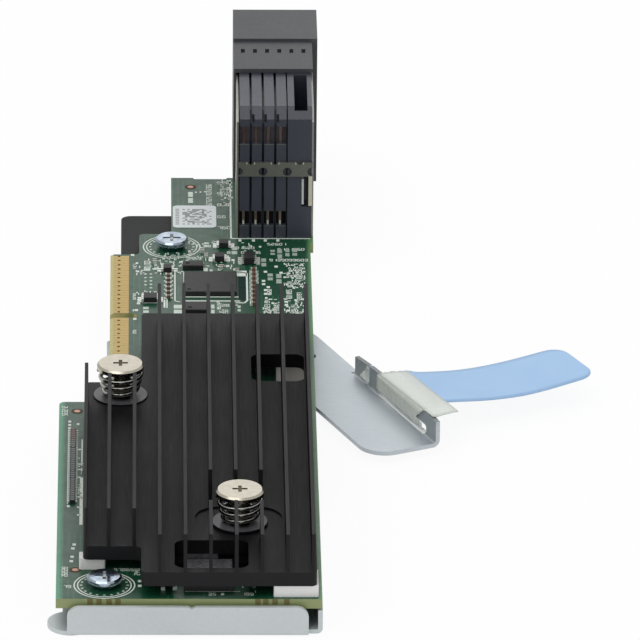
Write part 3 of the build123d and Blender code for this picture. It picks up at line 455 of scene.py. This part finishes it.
def add_prism(shape, outline, low, high, index=0):
    """A closed prism with upright sides over an outline of (x, y), all in millimetres."""
    base = [shape.verts.new((x * MM, y * MM, low * MM)) for x, y in outline]
    roof = [shape.verts.new((x * MM, y * MM, high * MM)) for x, y in outline]
    faces = [shape.faces.new(base[::-1]), shape.faces.new(roof)]
    for i in range(len(outline)):
        j = (i + 1) % len(outline)
        faces.append(shape.faces.new((base[i], base[j], roof[j], roof[i])))
    for face in faces:
        face.material_index = index


def rect(x0, x1, y0, y1):
    """A rectangle's outline between its left, right, front and back."""
    return [(x0, y0), (x1, y0), (x1, y1), (x0, y1)]


def block(x, y, width, length):
    """A rectangle's outline about its centre."""
    return rect(x - width / 2, x + width / 2, y - length / 2, y + length / 2)


def disc(x, y, radius, sides=16):
    """A circle's outline."""
    return [(x + radius * math.cos(2 * math.pi * i / sides), y + radius * math.sin(2 * math.pi * i / sides))
            for i in range(sides)]


def stroke(start, end, width):
    """The outline of a straight line with square ends."""
    along = Vector(end) - Vector(start)
    across = Vector((-along.y, along.x)).normalized() * width / 2
    return [tuple(Vector(start) - across), tuple(Vector(end) - across),
            tuple(Vector(end) + across), tuple(Vector(start) + across)]


def line(points, width):
    """The outlines of a bent line, one stroke for each run."""
    return [stroke(a, b, width) for a, b in zip(points, points[1:])]


def ring(x, y, radius, width, sides=48):
    """The outlines of a printed circle, one for each of its steps."""
    inner, outer = disc(x, y, radius - width / 2, sides), disc(x, y, radius + width / 2, sides)
    return [[inner[i - 1], outer[i - 1], outer[i], inner[i]] for i in range(sides)]


DIGIT_BARS = {"0": "abcdef", "1": "bc", "2": "abged", "3": "abgcd", "4": "fgbc", "5": "afgcd",
              "6": "afgedc", "7": "abc", "8": "abcdefg", "9": "abcdfg"}
BAR_ENDS = {"a": ((0, 1), (1, 1)), "b": ((1, 1), (1, 0.5)), "c": ((1, 0.5), (1, 0)), "d": ((0, 0), (1, 0)),
            "e": ((0, 0.5), (0, 0)), "f": ((0, 1), (0, 0.5)), "g": ((0, 0.5), (1, 0.5))}


def number(x, y, height, text, sideways=False):
    """A row of plain digits from its lower left corner, as outlines; sideways reads along Y."""
    outlines = []
    width, pitch, ink_width = height * 0.5, height * 0.75, 0.14
    for i, digit in enumerate(text):
        for bar in DIGIT_BARS[digit]:
            ends = []
            for across, up in BAR_ENDS[bar]:
                run, rise = i * pitch + across * width, up * height
                ends.append((x - rise, y + run) if sideways else (x + run, y + rise))
            outlines.append(stroke(*ends, ink_width))
    return outlines


def printed(name, outlines, material, thickness=0.02, base=board_top):
    """A thin layer on the board in the shape of all the outlines."""
    shape = bmesh.new()
    for outline in outlines:
        add_prism(shape, outline, base, base + thickness)
    return new_piece(name, shape, (material,))


# White ink on the board
front_screw = (-12.9, 4.8)
rear_screw = (-2.4, 134.05)
ink_draws = random.Random(7)


def scatter_number(count):
    """Plain digits with no meaning."""
    return "".join(ink_draws.choice("0123456789") for _ in range(count))


# Left, right, front and back of the crowded fields, with the count of marks in each
CROWDED = (
    (15.9, 19.2, 117.2, 127.6, 92), (15.8, 19.0, 105.6, 114.2, 44), (12.3, 15.2, 105.6, 113.6, 34),
    (8.9, 12.4, 132.2, 136.2, 12), (-0.8, 8.0, 125.2, 130.4, 46), (-8.3, -3.2, 122.8, 129.0, 34),
    (-8.2, -4.4, 112.6, 116.6, 22), (-4.0, -0.8, 122.0, 131.4, 38), (5.7, 7.6, 151.5, 161.8, 46),
    (4.9, 5.5, 108.0, 112.0, 10), (-17.1, -16.4, 36.0, 52.0, 16), (-3.0, 4.0, 130.2, 135.6, 16),
)


def ink_outlines():
    """Rings round the screws, frames, ticks and rows of plain digits."""
    outlines = []
    for x, y in (front_screw, rear_screw):
        outlines += ring(x, y, 4.63, 0.2) + ring(x, y, 4.1, 0.18)
    tower_left, tower_foot, tower_right = 7.33, 137.55, 20.3
    outlines += line([(tower_left, 161.9), (tower_left, tower_foot), (tower_right, tower_foot)], 0.28)
    outlines += [block(x, 136.8, 0.5, 0.9) for x in (8.8, 11.0, 12.95, 15.0)]
    # Frames round the bridge chip and the bare footprint beside it
    outlines += line([(-1.9, 124.0), (-1.9, 112.2), (-1.1, 111.8)], 0.22)
    outlines += line([(-1.5, 123.6), (-0.4, 124.1), (-0.4, 119.9)], 0.28)
    outlines += line([(-0.3, 113.8), (8.65, 113.8)], 0.3) + line([(-0.3, 112.2), (8.65, 112.2)], 0.34)
    outlines += line([(8.25, 124.0), (9.8, 123.4), (9.8, 112.4), (9.3, 111.4), (8.0, 111.6)], 0.3)
    outlines.append(rect(8.2, 9.8, 122.2, 124.4))
    # Lines along the columns of capacitors
    outlines += line([(10.3, 124.6), (10.3, 111.0)], 0.16) + line([(11.6, 124.0), (11.6, 117.4)], 0.16)
    outlines += [block(x, 123.7 - 1.72 * i, 0.3, 0.7) for x in (10.42, 11.5) for i in range(7)]
    outlines += line([(-3.6, 112.6), (-3.6, 109.5)], 0.3)
    # Footprints left of the card's middle
    outlines += line([(-7.2, 115.4), (-4.7, 115.4), (-4.7, 111.4), (-7.2, 111.4), (-7.2, 115.4)], 0.16)
    outlines += line([(-4.0, 113.0), (-3.2, 113.0), (-3.2, 109.4)], 0.2)
    # The long outline down the left strip
    outlines += line([(-18.75, 61.9), (-18.75, 34.2)], 0.14)
    outlines += line([(-16.6, 58.3), (-16.6, 46.0)], 0.2) + line([(-16.62, 44.0), (-16.62, 26.6)], 0.5)
    outlines += [block(-17.0, y, 0.5, 0.5) for y in (54.5, 49.0, 47.0, 44.1, 40.3, 36.8, 33.0, 30.2)]
    outlines += [block(-18.6, y, 0.45, 0.7) for y in (65.05, 63.74, 62.5, 33.4)]
    outlines += [block(-17.28, 64.1, 0.4, 0.7), rect(-0.6, 7.8, 2.64, 2.71)]
    # Rows of digits behind the heatsink
    for x, y, count in ((13.3, 134.8, 5), (8.1, 133.3, 5), (6.7, 131.4, 2), (9.0, 131.4, 1),
                        (11.0, 131.4, 2), (15.0, 132.7, 7), (13.6, 128.3, 10), (2.9, 134.0, 2),
                        (4.2, 135.6, 2), (5.1, 110.0, 3), (-0.5, 129.0, 3), (1.0, 129.0, 2),
                        (8.1, 1.3, 3), (3.0, 1.3, 2), (7.8, 3.9, 1), (9.7, 3.9, 1), (9.7, 2.2, 1),
                        (16.8, 107.0, 3), (-11.45, 9.95, 5), (-19.1, 3.9, 2)):
        outlines += number(x, y, 0.85, scatter_number(count))
    # Digits that read along the card
    for x, y, height, count in ((13.4, 107.4, 0.8, 9), (14.9, 107.4, 0.8, 7), (13.7, 114.4, 0.6, 6),
                                (17.0, 112.8, 0.8, 7), (18.6, 112.6, 0.7, 6), (17.9, 108.4, 1.1, 3),
                                (18.7, 120.0, 0.9, 8), (4.2, 151.2, 0.8, 15), (-8.2, 124.8, 0.8, 4),
                                (-8.3, 112.7, 0.7, 5), (-8.2, 99.2, 0.7, 3), (-19.0, 67.4, 0.8, 6),
                                (6.6, 107.2, 0.7, 3), (5.9, 107.6, 0.6, 3), (-7.5, 8.5, 0.8, 4),
                                (-18.6, 7.9, 0.8, 6)):
        outlines += number(x, y, height, scatter_number(count), sideways=True)
    for y in (160.2, 155.6, 151.0, 146.0, 141.5):
        outlines += number(5.2, y, 1.0, scatter_number(3))
    # Loose dots
    for x, y in ((-8.8, 130.7), (-7.8, 111.2), (-8.8, 108.4), (-8.15, 108.5), (-8.4, 105.0), (12.85, 124.0),
                 (15.4, 123.6), (12.5, 120.3), (12.5, 119.0), (13.25, 117.8), (12.8, 116.6), (12.8, 115.1),
                 (14.6, 126.1), (7.6, 128.7), (5.85, 126.5), (5.4, 124.9), (6.7, 126.3), (7.9, 124.9),
                 (16.1, 110.7), (16.4, 108.4), (17.7, 108.4), (5.1, 1.7), (-7.5, 6.3), (-7.5, 4.6),
                 (-18.0, 13.4), (-17.9, 15.0), (-17.8, 18.0), (-17.6, 19.4)):
        outlines.append(block(x, y, 0.55, 0.75))
    # Crowded marks between the small parts
    mark_sizes = ((0.18, 0.62), (0.45, 0.22), (0.3, 0.4), (0.16, 0.9), (0.4, 0.62))
    for x0, x1, y0, y1, count in CROWDED:
        for _ in range(count):
            width, length = ink_draws.choice(mark_sizes)
            outlines.append(block(ink_draws.uniform(x0, x1), ink_draws.uniform(y0, y1), width, length))
    # A dotted edge along the back of the tail
    outlines += [block(0.9 + 0.75 * i, 156.6 + 0.12 * i, 0.3, 0.5) for i in range(5)]
    return outlines


printed("board_ink", ink_outlines(), white_ink)


# Tinned pads, via dots and bare copper
def pad_pair(x, y, width, length, gap=0.5):
    """The two pads of a small footprint, one ahead of the other."""
    pad = (length - gap) / 2
    return [block(x, y - (gap + pad) / 2, width, pad), block(x, y + (gap + pad) / 2, width, pad)]


def tin_outlines():
    """Pads of bare footprints and of the small parts, and the ring of vias round each screw."""
    outlines = []
    for x, y, width, length in (
        (14.1, 131.9, 0.75, 2.0), (15.25, 131.3, 0.75, 3.8), (16.5, 131.8, 0.7, 2.9),
        (17.7, 131.8, 0.8, 2.4), (12.6, 127.8, 0.8, 3.2), (13.6, 121.9, 0.85, 2.7),
        (15.0, 121.2, 0.85, 3.8), (3.3, 135.0, 0.8, 1.8), (7.9, 132.6, 0.8, 3.0), (3.1, 123.7, 0.7, 3.6),
        (4.0, 123.2, 0.5, 3.2), (-1.45, 108.9, 1.3, 3.4), (4.2, 108.9, 0.55, 3.6), (-6.4, 126.3, 1.0, 4.0),
        (-5.05, 125.9, 0.5, 2.4), (8.1, 111.0, 0.4, 1.4), (8.45, 109.2, 0.5, 2.4), (0.75, 154.5, 0.8, 4.6),
        (-6.6, 108.6, 0.9, 2.4), (16.7, 118.9, 0.7, 2.4),
    ):
        outlines += pad_pair(x, y, width, length)
    for x, start, count, pitch in ((-6.68, 118.6, 4, 1.45), (-5.79, 117.4, 5, 1.4)):
        outlines += [disc(x, start + pitch * i, 0.24, 10) for i in range(count)]
    vias, via_circle, via_radius = 20, 3.55, 0.22
    for screw in (front_screw, rear_screw):
        outlines += [disc(*via, via_radius, 8) for via in disc(*screw, via_circle, vias)]
    # Solder beside the capacitors
    for x, start, count in ((-2.95, 113.4, 6), (10.95, 110.6, 9)):
        outlines += [block(x, start + 1.7 * i, 1.5, 0.5) for i in range(count)]
    return outlines


printed("board_pads", tin_outlines(), tin, thickness=0.03)

fiducials = ((-17.45, 69.0), (-17.4, 10.3), (0.76, 158.95))
printed("fiducial_rings", [disc(x, y, 0.95, 24) for x, y in fiducials], dark_brown)
printed("fiducials", [disc(x, y, 0.5, 20) for x, y in fiducials], copper, thickness=0.04)
finger_top = extent("edge_contacts_top")[1].z
key_slot, slot_margin = 106.3, 1.4
finger_runs = ((107.15, 130.3), (73.6, 105.4))
dot_places = [130.1 - 1.72 * i for i in range(34)]
# Dark dots along the gold fingers, one every 1.72 mm
edge_dots = [disc(-10.98, y, 0.25, 10) for y in dot_places if abs(y - key_slot) > slot_margin]
printed("contact_dots", edge_dots, dark_brown, base=finger_top, thickness=0.01)
printed("finger_ground", [rect(-11.85, -9.35, *run) for run in finger_runs], bare_laminate, thickness=0.035)
printed("mask_edge", [rect(-9.38, -8.75, *run) for run in finger_runs], solder_mask, thickness=0.07)
printed("bare_window", [rect(8.4, 9.55, 112.4, 121.9)], dark_mask)


# Plated half holes along the front edge of the board
def plated_half_holes():
    """Upright brown half rounds that stand a hair proud of the board's front edge."""
    shape = bmesh.new()
    radius, proud, depth = 0.42, 0.05, 0.9
    for x in (-15.07, -13.7, -12.18, -10.81, 10.5, 11.7, 13.1, 14.9):
        round_front = [(x + radius * math.cos(a), -proud * math.sin(a)) for a in
                       (math.pi * i / 8 for i in range(9))]
        back = [(x - radius, 0.02), (x + radius, 0.02)]
        add_prism(shape, round_front + back, board_top - depth, board_top + 0.01)
    return new_piece("edge_half_holes", shape, (bare_edge,))


plated_half_holes()


# Leads: bright gull wings over the leads of the small packages, and pins along the resistor arrays
def lead_covers():
    """Tinned feet at the sides of the leaded packages."""
    shape = bmesh.new()
    half_lead, foot_reach, knee_reach = 0.22, 1.0, 0.38
    for x, y, width, leads, pitch in (
        (6.1, 134.3, 1.5, 3, 0.6), (5.4, 128.7, 1.5, 3, 0.6), (-3.1, 124.3, 1.3, 2, 0.8),
        (-5.9, 112.4, 2.1, 3, 0.65), (10.2, 128.2, 1.6, 4, 0.72),
    ):
        for i in range(leads):
            lead_y = y + (i - (leads - 1) / 2) * pitch
            for side in (-1, 1):
                heel, toe = x + side * (width / 2 + 0.02), x + side * (width / 2 + foot_reach)
                knee = x + side * (width / 2 + knee_reach)
                for near, far, low, high in ((knee, toe, 0.005, 0.2), (heel, knee, 0.15, 0.66)):
                    outline = rect(min(near, far), max(near, far), lead_y - half_lead, lead_y + half_lead)
                    add_prism(shape, outline, board_top + low, board_top + high)
    return new_piece("package_leads", shape, (solder,))


def element_places():
    """Middles of the resistor arrays' single elements along the card."""
    first, pitch, count = 0.4, 0.82, 33
    return [extent("resistor_arrays")[0].y + first + pitch * i for i in range(count)]


def array_pins():
    """Tinned pins along both sides of the resistor arrays."""
    shape = bmesh.new()
    low, high = extent("resistor_arrays")
    for y in element_places():
        for x in (low.x - 0.12, high.x + 0.12):
            add_prism(shape, block(x, y, 0.36, 0.4), solder_level, board_top + 0.3)
    return new_piece("array_pins", shape, (tin,))


def capacitor_ends():
    """Tinned caps on both ends of each capacitor."""
    shape = bmesh.new()
    places = [(-2.95, 113.4 + 1.7 * i, True) for i in range(6)]
    places += [(10.95, 110.6 + 1.72 * i, True) for i in range(9)]
    places += [(x, board_high.y - ahead, False) for x, ahead in
               ((-6.4, 36.2), (-5.2, 35.2), (3.2, 32.9), (2.6, 30.8), (8.2, 39.0), (5.6, 37.6))]
    places += [(-3.96, 3.49, False), (-2.13, 3.5, False)]
    from_middle, cap_length, cap_width, cap_height = 0.39, 0.22, 0.66, 0.57
    for x, y, lying in places:
        for side in (-1, 1):
            if lying:
                outline = block(x + side * from_middle, y, cap_length, cap_width)
            else:
                outline = block(x, y + side * from_middle, cap_width, cap_length)
            add_prism(shape, outline, solder_level, board_top + cap_height)
    return new_piece("capacitor_ends", shape, (tin,))


lead_covers()
array_pins()
capacitor_ends()


def array_tops():
    """The single elements of the resistor arrays, and the brown capacitors at their back end."""
    shape = bmesh.new()
    low, high = extent("resistor_arrays")
    middle, brown_from = (low.x + high.x) / 2, 57.5
    for y in element_places():
        add_prism(shape, block(middle, y, 0.6, 0.52), high.z - 0.02, high.z + 0.03, int(y > brown_from))
    return new_piece("array_tops", shape, (part_grey, ceramic_brown))


array_tops()


# A grey dotted patch on the label, with no words and no code in it
def label_patches():
    """A field of small squares in random places, and one column of plain bars."""
    low, high = extent("label")
    dots = random.Random(11)
    cell = 0.4
    field_left, field_front = low.x + 1.6, low.y + 1.2
    columns, rows = int((high.x - low.x - 2.2) / cell), int((high.y - low.y - 2.4) / cell)
    outlines = []
    for i in range(columns):
        for j in range(rows):
            if dots.random() < 0.5:
                x, y = field_left + cell * (i + 0.5), field_front + cell * (j + 0.5)
                outlines.append(block(x, y, cell, cell))
    bars, bar_pitch = 10, 0.68
    return outlines + [block(low.x + 0.75, low.y + 1.4 + bar_pitch * j, 0.6, 0.34) for j in range(bars)]


printed("label_print", label_patches(), label_ink, base=extent("label")[1].z, thickness=0.01)


# Worn faces of the heatsink's bosses, the lapped top of the memory chip and painted highlights in the crosses
# of the screws
front_spring_spot = (7.85, 18.8)
rear_spring_spot = (-10.6, 65.9)


def boss_faces():
    """A thin bright ring on each boss, between the screw's shoulder and the boss's rim."""
    outlines = []
    for x, y in (front_spring_spot, rear_spring_spot):
        outlines += ring(x, y, 3.06, 2.3, sides=40)
    return outlines


def painted_cross_glints():
    """Painted highlights: bright crosses at the floors of the recesses in the two screws that hold the board.
    """
    outlines = []
    for x, y in (front_screw, rear_screw):
        outlines += [block(x, y, 2.8, 0.5), block(x, y, 0.5, 2.8)]
    return outlines


boss_top = 10.2
memory_top = 6.9
cross_floor = extent("board_screws")[1].z - 0.7
printed("boss_faces", boss_faces(), worn_face, base=boss_top)
printed("memory_top", [block(3.0, 7.4, 7.2, 9.0)], lapped_epoxy, base=memory_top, thickness=0.01)
# Painted highlights in the cross recesses of the board's screws
printed("painted_cross_glints", painted_cross_glints(), solder, base=cross_floor, thickness=0.25)


def under_sink_blocks():
    """A grey gap pad behind the memory chip and dark blocks beside it, below the heatsink's window."""
    shape = bmesh.new()
    low, high = board_top + 0.01, extent("heatsink")[0].z - 0.02
    for outline, look in ((rect(-0.3, 4.5, 12.25, 15.0), 0), (rect(-3.0, -0.85, 9.0, 15.0), 1),
                          (rect(4.55, 10.0, 12.3, 15.0), 1), (rect(6.85, 10.0, 9.0, 12.25), 1)):
        add_prism(shape, outline, low, high, look)
    return new_piece("gap_pads", shape, (lapped_epoxy, deep_black))


under_sink_blocks()


# Springs of round wire, wider towards the head
def conical_spring(name, x, y):
    """A cone of round wire between the boss and the screw's head, with flat end turns."""
    low, high = extent("heatsink_springs")
    wire, turns, foot, head, start_angle = 0.36, 3.4, 2.5, 3.42, 0.6
    flat_share = 0.25
    steps, sides = 120, 10
    shape = bmesh.new()
    loops = []
    for i in range(steps + 1):
        share = i / steps
        eased = 0.5 - 0.5 * math.cos(math.pi * share)
        rise = flat_share * eased + (1 - flat_share) * share
        radius = foot + (head - foot) * share
        angle = 2 * math.pi * turns * share + start_angle
        out = Vector((math.cos(angle), math.sin(angle), 0))
        centre = Vector((x, y, low.z + wire + (high.z - low.z - 2 * wire) * rise)) + out * radius
        loop = []
        for k in range(sides):
            round_wire = 2 * math.pi * k / sides
            edge = math.cos(round_wire) * out + math.sin(round_wire) * Vector((0, 0, 1))
            loop.append(shape.verts.new((centre + wire * edge) * MM))
        loops.append(loop)
    for a, b in zip(loops, loops[1:]):
        for k in range(sides):
            shape.faces.new((a[k], a[(k + 1) % sides], b[(k + 1) % sides], b[k]))
    shape.faces.new(loops[0])
    shape.faces.new(loops[-1])
    return new_piece(name, shape, (spring_steel,), smooth=True)


front_spring = conical_spring("front_spring", *front_spring_spot)
rear_spring = conical_spring("rear_spring", *rear_spring_spot)
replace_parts(front_spring, "heatsink_springs")
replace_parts(rear_spring, "heatsink_springs")


# Connector: painted highlights on lips, tips and notches, painted shade in the windows, and the blade in its
# corner
def connector_details():
    """Bright tips and lips in the wafers' windows and glints at the notches as painted highlights, dark
    window backs as painted shade, the leg's face and the blade.
    """
    shape = bmesh.new()
    wafer_face = extent("signal_wafer_1")[0].y
    strip_face = extent("stiffener_strip")[0].y
    first_column, column_pitch, columns = 9.49, 2.0, 4

    def upright(outline, low, high, look):
        """A block between two heights over the board."""
        add_prism(shape, outline, board_top + low, board_top + high, look)

    for i in range(columns):
        middle = first_column + column_pitch * i
        tip = middle - 0.15
        # Real contact tips, made bright as a painted highlight
        upright(rect(tip - 0.14, tip + 0.14, wafer_face + 0.35, wafer_face + 0.7), 2.3, 2.9, 0)
        # Painted highlight: thin light strips where the windows' lower lips catch the light
        for lip in (2.12, 16.6):
            upright(rect(middle - 0.8, middle + 0.8, wafer_face - 0.02, wafer_face + 0.1), lip, lip + 0.13, 1)
        # Painted shade: dark plates at the backs of the windows
        for low, high, look in ((2.3, 4.8, 3), (16.8, 19.8, 4)):
            painted_back_shade = rect(middle - 0.79, middle + 0.79, wafer_face + 0.84, wafer_face + 0.895)
            upright(painted_back_shade, low, high, look)
    # Painted glints beside the stiffener's notches
    for x in (10.49, 14.49, 18.49):
        for side in (-1, 1):
            upright(block(x + side * 0.62, strip_face + 0.1, 0.16, 0.24), 13.3, 13.62, 2)
    upright(rect(19.97, 20.56, strip_face - 0.02, strip_face + 0.02), 5.95, 11.2, 2)
    upright(rect(18.86, 19.2, wafer_face + 0.3, wafer_face + 1.5), 5.9, 10.4, 5)
    return new_piece("connector_tips", shape,
                     (tin, strip_metal, warm_steel, deep_black, window_shade, solder))


connector_details()


# Film of the pull tab, in the lever's own directions
pivot = Vector((15.74, 104.01, 0))
lever_turn = math.radians(-65.45)
sheet_bottom = 1.3
along_lever = Vector((math.cos(lever_turn), math.sin(lever_turn), 0))
across_lever = Vector((-math.sin(lever_turn), math.cos(lever_turn), 0))


def lever_place(u, v, z):
    """A place in metres from u along the lever, v across it and the height over its sheet's underside."""
    return (pivot + u * along_lever + v * across_lever + Vector((0, 0, sheet_bottom + z))) * MM


def curve_through(points, value):
    """A smooth curve's second value at a first value, through a list of pairs."""
    for i in range(len(points) - 1):
        if value <= points[i + 1][0] or i == len(points) - 2:
            break
    before, after = points[max(i - 1, 0)], points[min(i + 2, len(points) - 1)]
    (x0, y0), (x1, y1) = points[i], points[i + 1]
    share = (value - x0) / (x1 - x0)
    leave = (y1 - before[1]) / (x1 - before[0]) * (x1 - x0)
    arrive = (after[1] - y0) / (after[0] - x0) * (x1 - x0)
    return (y0 * (2 * share**3 - 3 * share**2 + 1) + leave * (share**3 - 2 * share**2 + share)
            + y1 * (3 * share**2 - 2 * share**3) + arrive * (share**3 - share**2))


def add_film(shape, rows, thickness, index=0):
    """A closed film of even thickness over rows of middle points in metres."""
    count, across = len(rows), len(rows[0])
    offsets = []
    for i in range(count):
        line_of = []
        for j in range(across):
            down = rows[min(i + 1, count - 1)][j] - rows[max(i - 1, 0)][j]
            side = rows[i][min(j + 1, across - 1)] - rows[i][max(j - 1, 0)]
            line_of.append(down.cross(side).normalized() * thickness / 2 * MM)
        offsets.append(line_of)
    faces = []
    grids = []
    for sign in (1, -1):
        grid = [[shape.verts.new(middle + sign * offset) for middle, offset in zip(row, line_of)]
                for row, line_of in zip(rows, offsets)]
        grids.append(grid)
        for near, far in zip(grid, grid[1:]):
            for j in range(across - 1):
                faces.append(shape.faces.new((near[j], far[j], far[j + 1], near[j + 1])))
    rim = [(i, 0) for i in range(count)] + [(count - 1, j) for j in range(1, across)]
    rim += [(i, across - 1) for i in range(count - 2, -1, -1)] + [(0, j) for j in range(across - 2, 0, -1)]
    for (i, j), (k, m) in zip(rim, rim[1:] + rim[:1]):
        faces.append(shape.faces.new((grids[0][i][j], grids[0][k][m], grids[1][k][m], grids[1][i][j])))
    for face in faces:
        face.material_index = index
        face.smooth = True


def flange_rise(u):
    """Height of the flange's sloping top edge over the sheet's underside."""
    start, crest, end = 20.6, 40.9, 44.9
    start_height, crest_height, end_height = 4.05, 4.8, 4.3
    if u < crest:
        return start_height + (u - start) / (crest - start) * (crest_height - start_height)
    return crest_height - (u - crest) / (end - crest) * (crest_height - end_height)


def pull_tab():
    """The blue strip: it droops from the tape, then lifts again towards its round end."""
    far_side, near_side = 25.0, 38.0
    far_heights = ((8.45, 4.28), (9.85, 4.15), (11.75, 3.54), (19.25, 2.57), (26.15, 2.5), (35.35, 3.14),
                   (37.25, 3.2))
    near_heights = ((8.45, 4.28), (11.15, 3.99), (18.65, 2.99), (25.45, 2.71), (35.75, 3.67), (37.25, 3.85))
    start, end, corner = 8.45, 37.15, 2.8
    steps, across, crowding = 64, 12, 1.35
    rows = []
    for i in range(steps + 1):
        v = start + (end - start) * (1 - (1 - i / steps) ** crowding)
        past = max(0.0, v - (end - corner))
        inset = corner - math.sqrt(max(corner**2 - past**2, 0.0))
        row = []
        for j in range(across + 1):
            u = far_side + inset + (near_side - far_side - 2 * inset) * j / across
            share = (u - far_side) / (near_side - far_side)
            z = (1 - share) * curve_through(far_heights, v) + share * curve_through(near_heights, v)
            row.append(lever_place(u, v, z))
        rows.append(row)
    shape = bmesh.new()
    add_film(shape, rows, 0.3)
    return new_piece("blue_tab", shape, (blue_film,), body="lever")


def strap_film():
    """Clear tape over the flange's top out to the tab, its inner flap and a crumpled end in the gap."""
    shape = bmesh.new()
    across = 20
    film, bend, tape_end, tooth = 0.12, 6.05, 10.1, 0.3
    # v, height over the flange's top, height at the tab's end, far and near side
    tape_run = ((5.13, -0.25, 3.9, 24.3, 40.7), (5.18, 0.05, 4.25, 24.3, 41.2),
                (5.45, 0.17, 4.5, 24.3, 43.4), (bend, 0.19, 4.55, 24.35, 43.7),
                (7.4, 0.17, 4.52, 24.5, 43.4), (8.8, 0.12, 4.44, 24.9, 43.0),
                (tape_end, 0.0, 4.3, 25.2, 42.6))
    # The far edge was torn off over teeth
    toothed = list(tape_run[:2])
    for before, after in zip(tape_run[2:], tape_run[3:]):
        v, over, at_tab, far_side, near_side = ((a + b) / 2 for a, b in zip(before, after))
        toothed += [before, (v, over, at_tab, far_side + tooth, near_side)]
    toothed.append(tape_run[-1])
    rows = []
    for v, over, at_tab, far_side, near_side in toothed:
        share = max(0.0, (v - bend) / (tape_end - bend))
        row = []
        for j in range(across + 1):
            u = far_side + (near_side - far_side) * j / across
            slant = 0.25 * (2 * j / across - 1) * share
            row.append(lever_place(u, v + slant, (1 - share) * (flange_rise(u) + over) + share * at_tab))
        rows.append(row)
    add_film(shape, rows, film, 0)
    # v, height and near side of the flap, which runs down the flange's inner face and ends in the slot
    flap_top, flap_far_side = 5.12, 23.9
    flap_run = ((flap_top, 4.15, 40.6), (5.06, 3.6, 39.4), (5.03, 2.7, 38.2), (5.03, 2.3, 40.4),
                (5.04, 1.8, 40.3), (5.05, 1.5, 39.8), (5.08, 1.48, 39.2), (5.2, 1.44, 39.0))
    wrinkle = random.Random(3)
    rows = []
    for v, z, near_side in flap_run:
        row = []
        for j in range(across + 1):
            u = flap_far_side + (near_side - flap_far_side) * j / across
            height = flange_rise(u) - film / 2 if v == flap_top else z
            row.append(lever_place(u, v - wrinkle.uniform(0.0, 0.05), height + wrinkle.uniform(-0.02, 0.02)))
        rows.append(row)
    # The flap's whitish colour is partly painted light, for light shining through it from the slot
    add_film(shape, rows, film, 1)
    # Crumpled end that sticks out through the gap in the flange and widens down to the sheet
    steps, fold = 8, 0.1
    rows = []
    for i in range(steps + 1):
        row = []
        for j in range(steps + 1):
            down, side = i / steps, j / steps
            u = (1 - down) * (19.9 + 1.1 * side) + down * (18.9 + 2.6 * side)
            v = 4.98 - max(0.0, down - 0.55) / 0.45 * (0.75 - 0.5 * side)
            z = 4.0 - down * (2.0 + 0.7 * side)
            row.append(lever_place(*(value + wrinkle.uniform(-fold, fold) for value in (u, v, z))))
        rows.append(row)
    add_film(shape, rows, film / 2, 2)
    return new_piece("clear_strap", shape, (clear_film, flap_film, crumpled_film), body="lever")


def slot_light_strip():
    """A white strip along the bottom of the flange's slot: painted light that stands in for the bright floor
    seen through the slot.
    """
    shape = bmesh.new()
    slot_floor = 0.775
    rows = [[lever_place(u, v, slot_floor) for v in (4.9, 5.2, 5.6, 5.97)] for u in (24.1, 30.0, 36.0, 41.0)]
    add_film(shape, rows, 0.03)
    return new_piece("slot_light_strip", shape, (painted_slot_light,), body="lever")


slot_light_strip()
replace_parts(pull_tab(), "pull_tab")
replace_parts(strap_film(), "tab_strap")


def light_scene():
    """A pale floor, two soft lamps and an even pale world."""
    floor_mesh = bpy.data.meshes.new("floor")
    reach, glow_share = 3.0, 0.92
    corners = [(x, y, 0) for x, y in rect(-reach, reach, -reach, reach)]
    floor_mesh.from_pydata(corners, [], [(0, 1, 2, 3)])
    floor = bpy.data.objects.new("floor", floor_mesh)
    bpy.context.scene.collection.objects.link(floor)
    material = bpy.data.materials.new("floor")
    material.use_nodes = True
    tree = material.node_tree
    shader = tree.nodes["Principled BSDF"]
    shader.inputs["Base Color"].default_value = (0.9, 0.9, 0.9, 1)
    shader.inputs["Roughness"].default_value = 0.9
    glow = tree.nodes.new("ShaderNodeEmission")
    mix = tree.nodes.new("ShaderNodeMixShader")
    path = tree.nodes.new("ShaderNodeLightPath")
    seen = math_node(tree, "MAXIMUM", path.outputs["Is Camera Ray"], path.outputs["Is Glossy Ray"])
    seen = math_node(tree, "MAXIMUM", seen, path.outputs["Is Transmission Ray"])
    tree.links.new(math_node(tree, "MULTIPLY", seen, glow_share), mix.inputs[0])
    tree.links.new(shader.outputs[0], mix.inputs[1])
    tree.links.new(glow.outputs[0], mix.inputs[2])
    tree.links.new(mix.outputs[0], tree.nodes["Material Output"].inputs["Surface"])
    floor_mesh.materials.append(material)
    world = bpy.data.worlds.new("studio")
    world.use_nodes = True
    world.node_tree.nodes["Background"].inputs["Color"].default_value = (1, 1, 1, 1)
    world.node_tree.nodes["Background"].inputs["Strength"].default_value = 0.75
    bpy.context.scene.world = world
    for name, place, size, power in (
        ("key", (-0.25, -0.2, 0.9), 0.7, 2.6),
        ("back", (0.1, 0.9, 0.7), 0.8, 1.4),
    ):
        data = bpy.data.lights.new(name, "AREA")
        data.size = size
        data.energy = power
        lamp = bpy.data.objects.new(name, data)
        lamp.location = place
        aim = Vector((0, 0.08, 0)) - lamp.location
        lamp.rotation_euler = aim.to_track_quat("-Z", "Y").to_euler()
        bpy.context.scene.collection.objects.link(lamp)


aim_camera()
light_scene()
bpy.context.scene.view_settings.view_transform = "Standard"
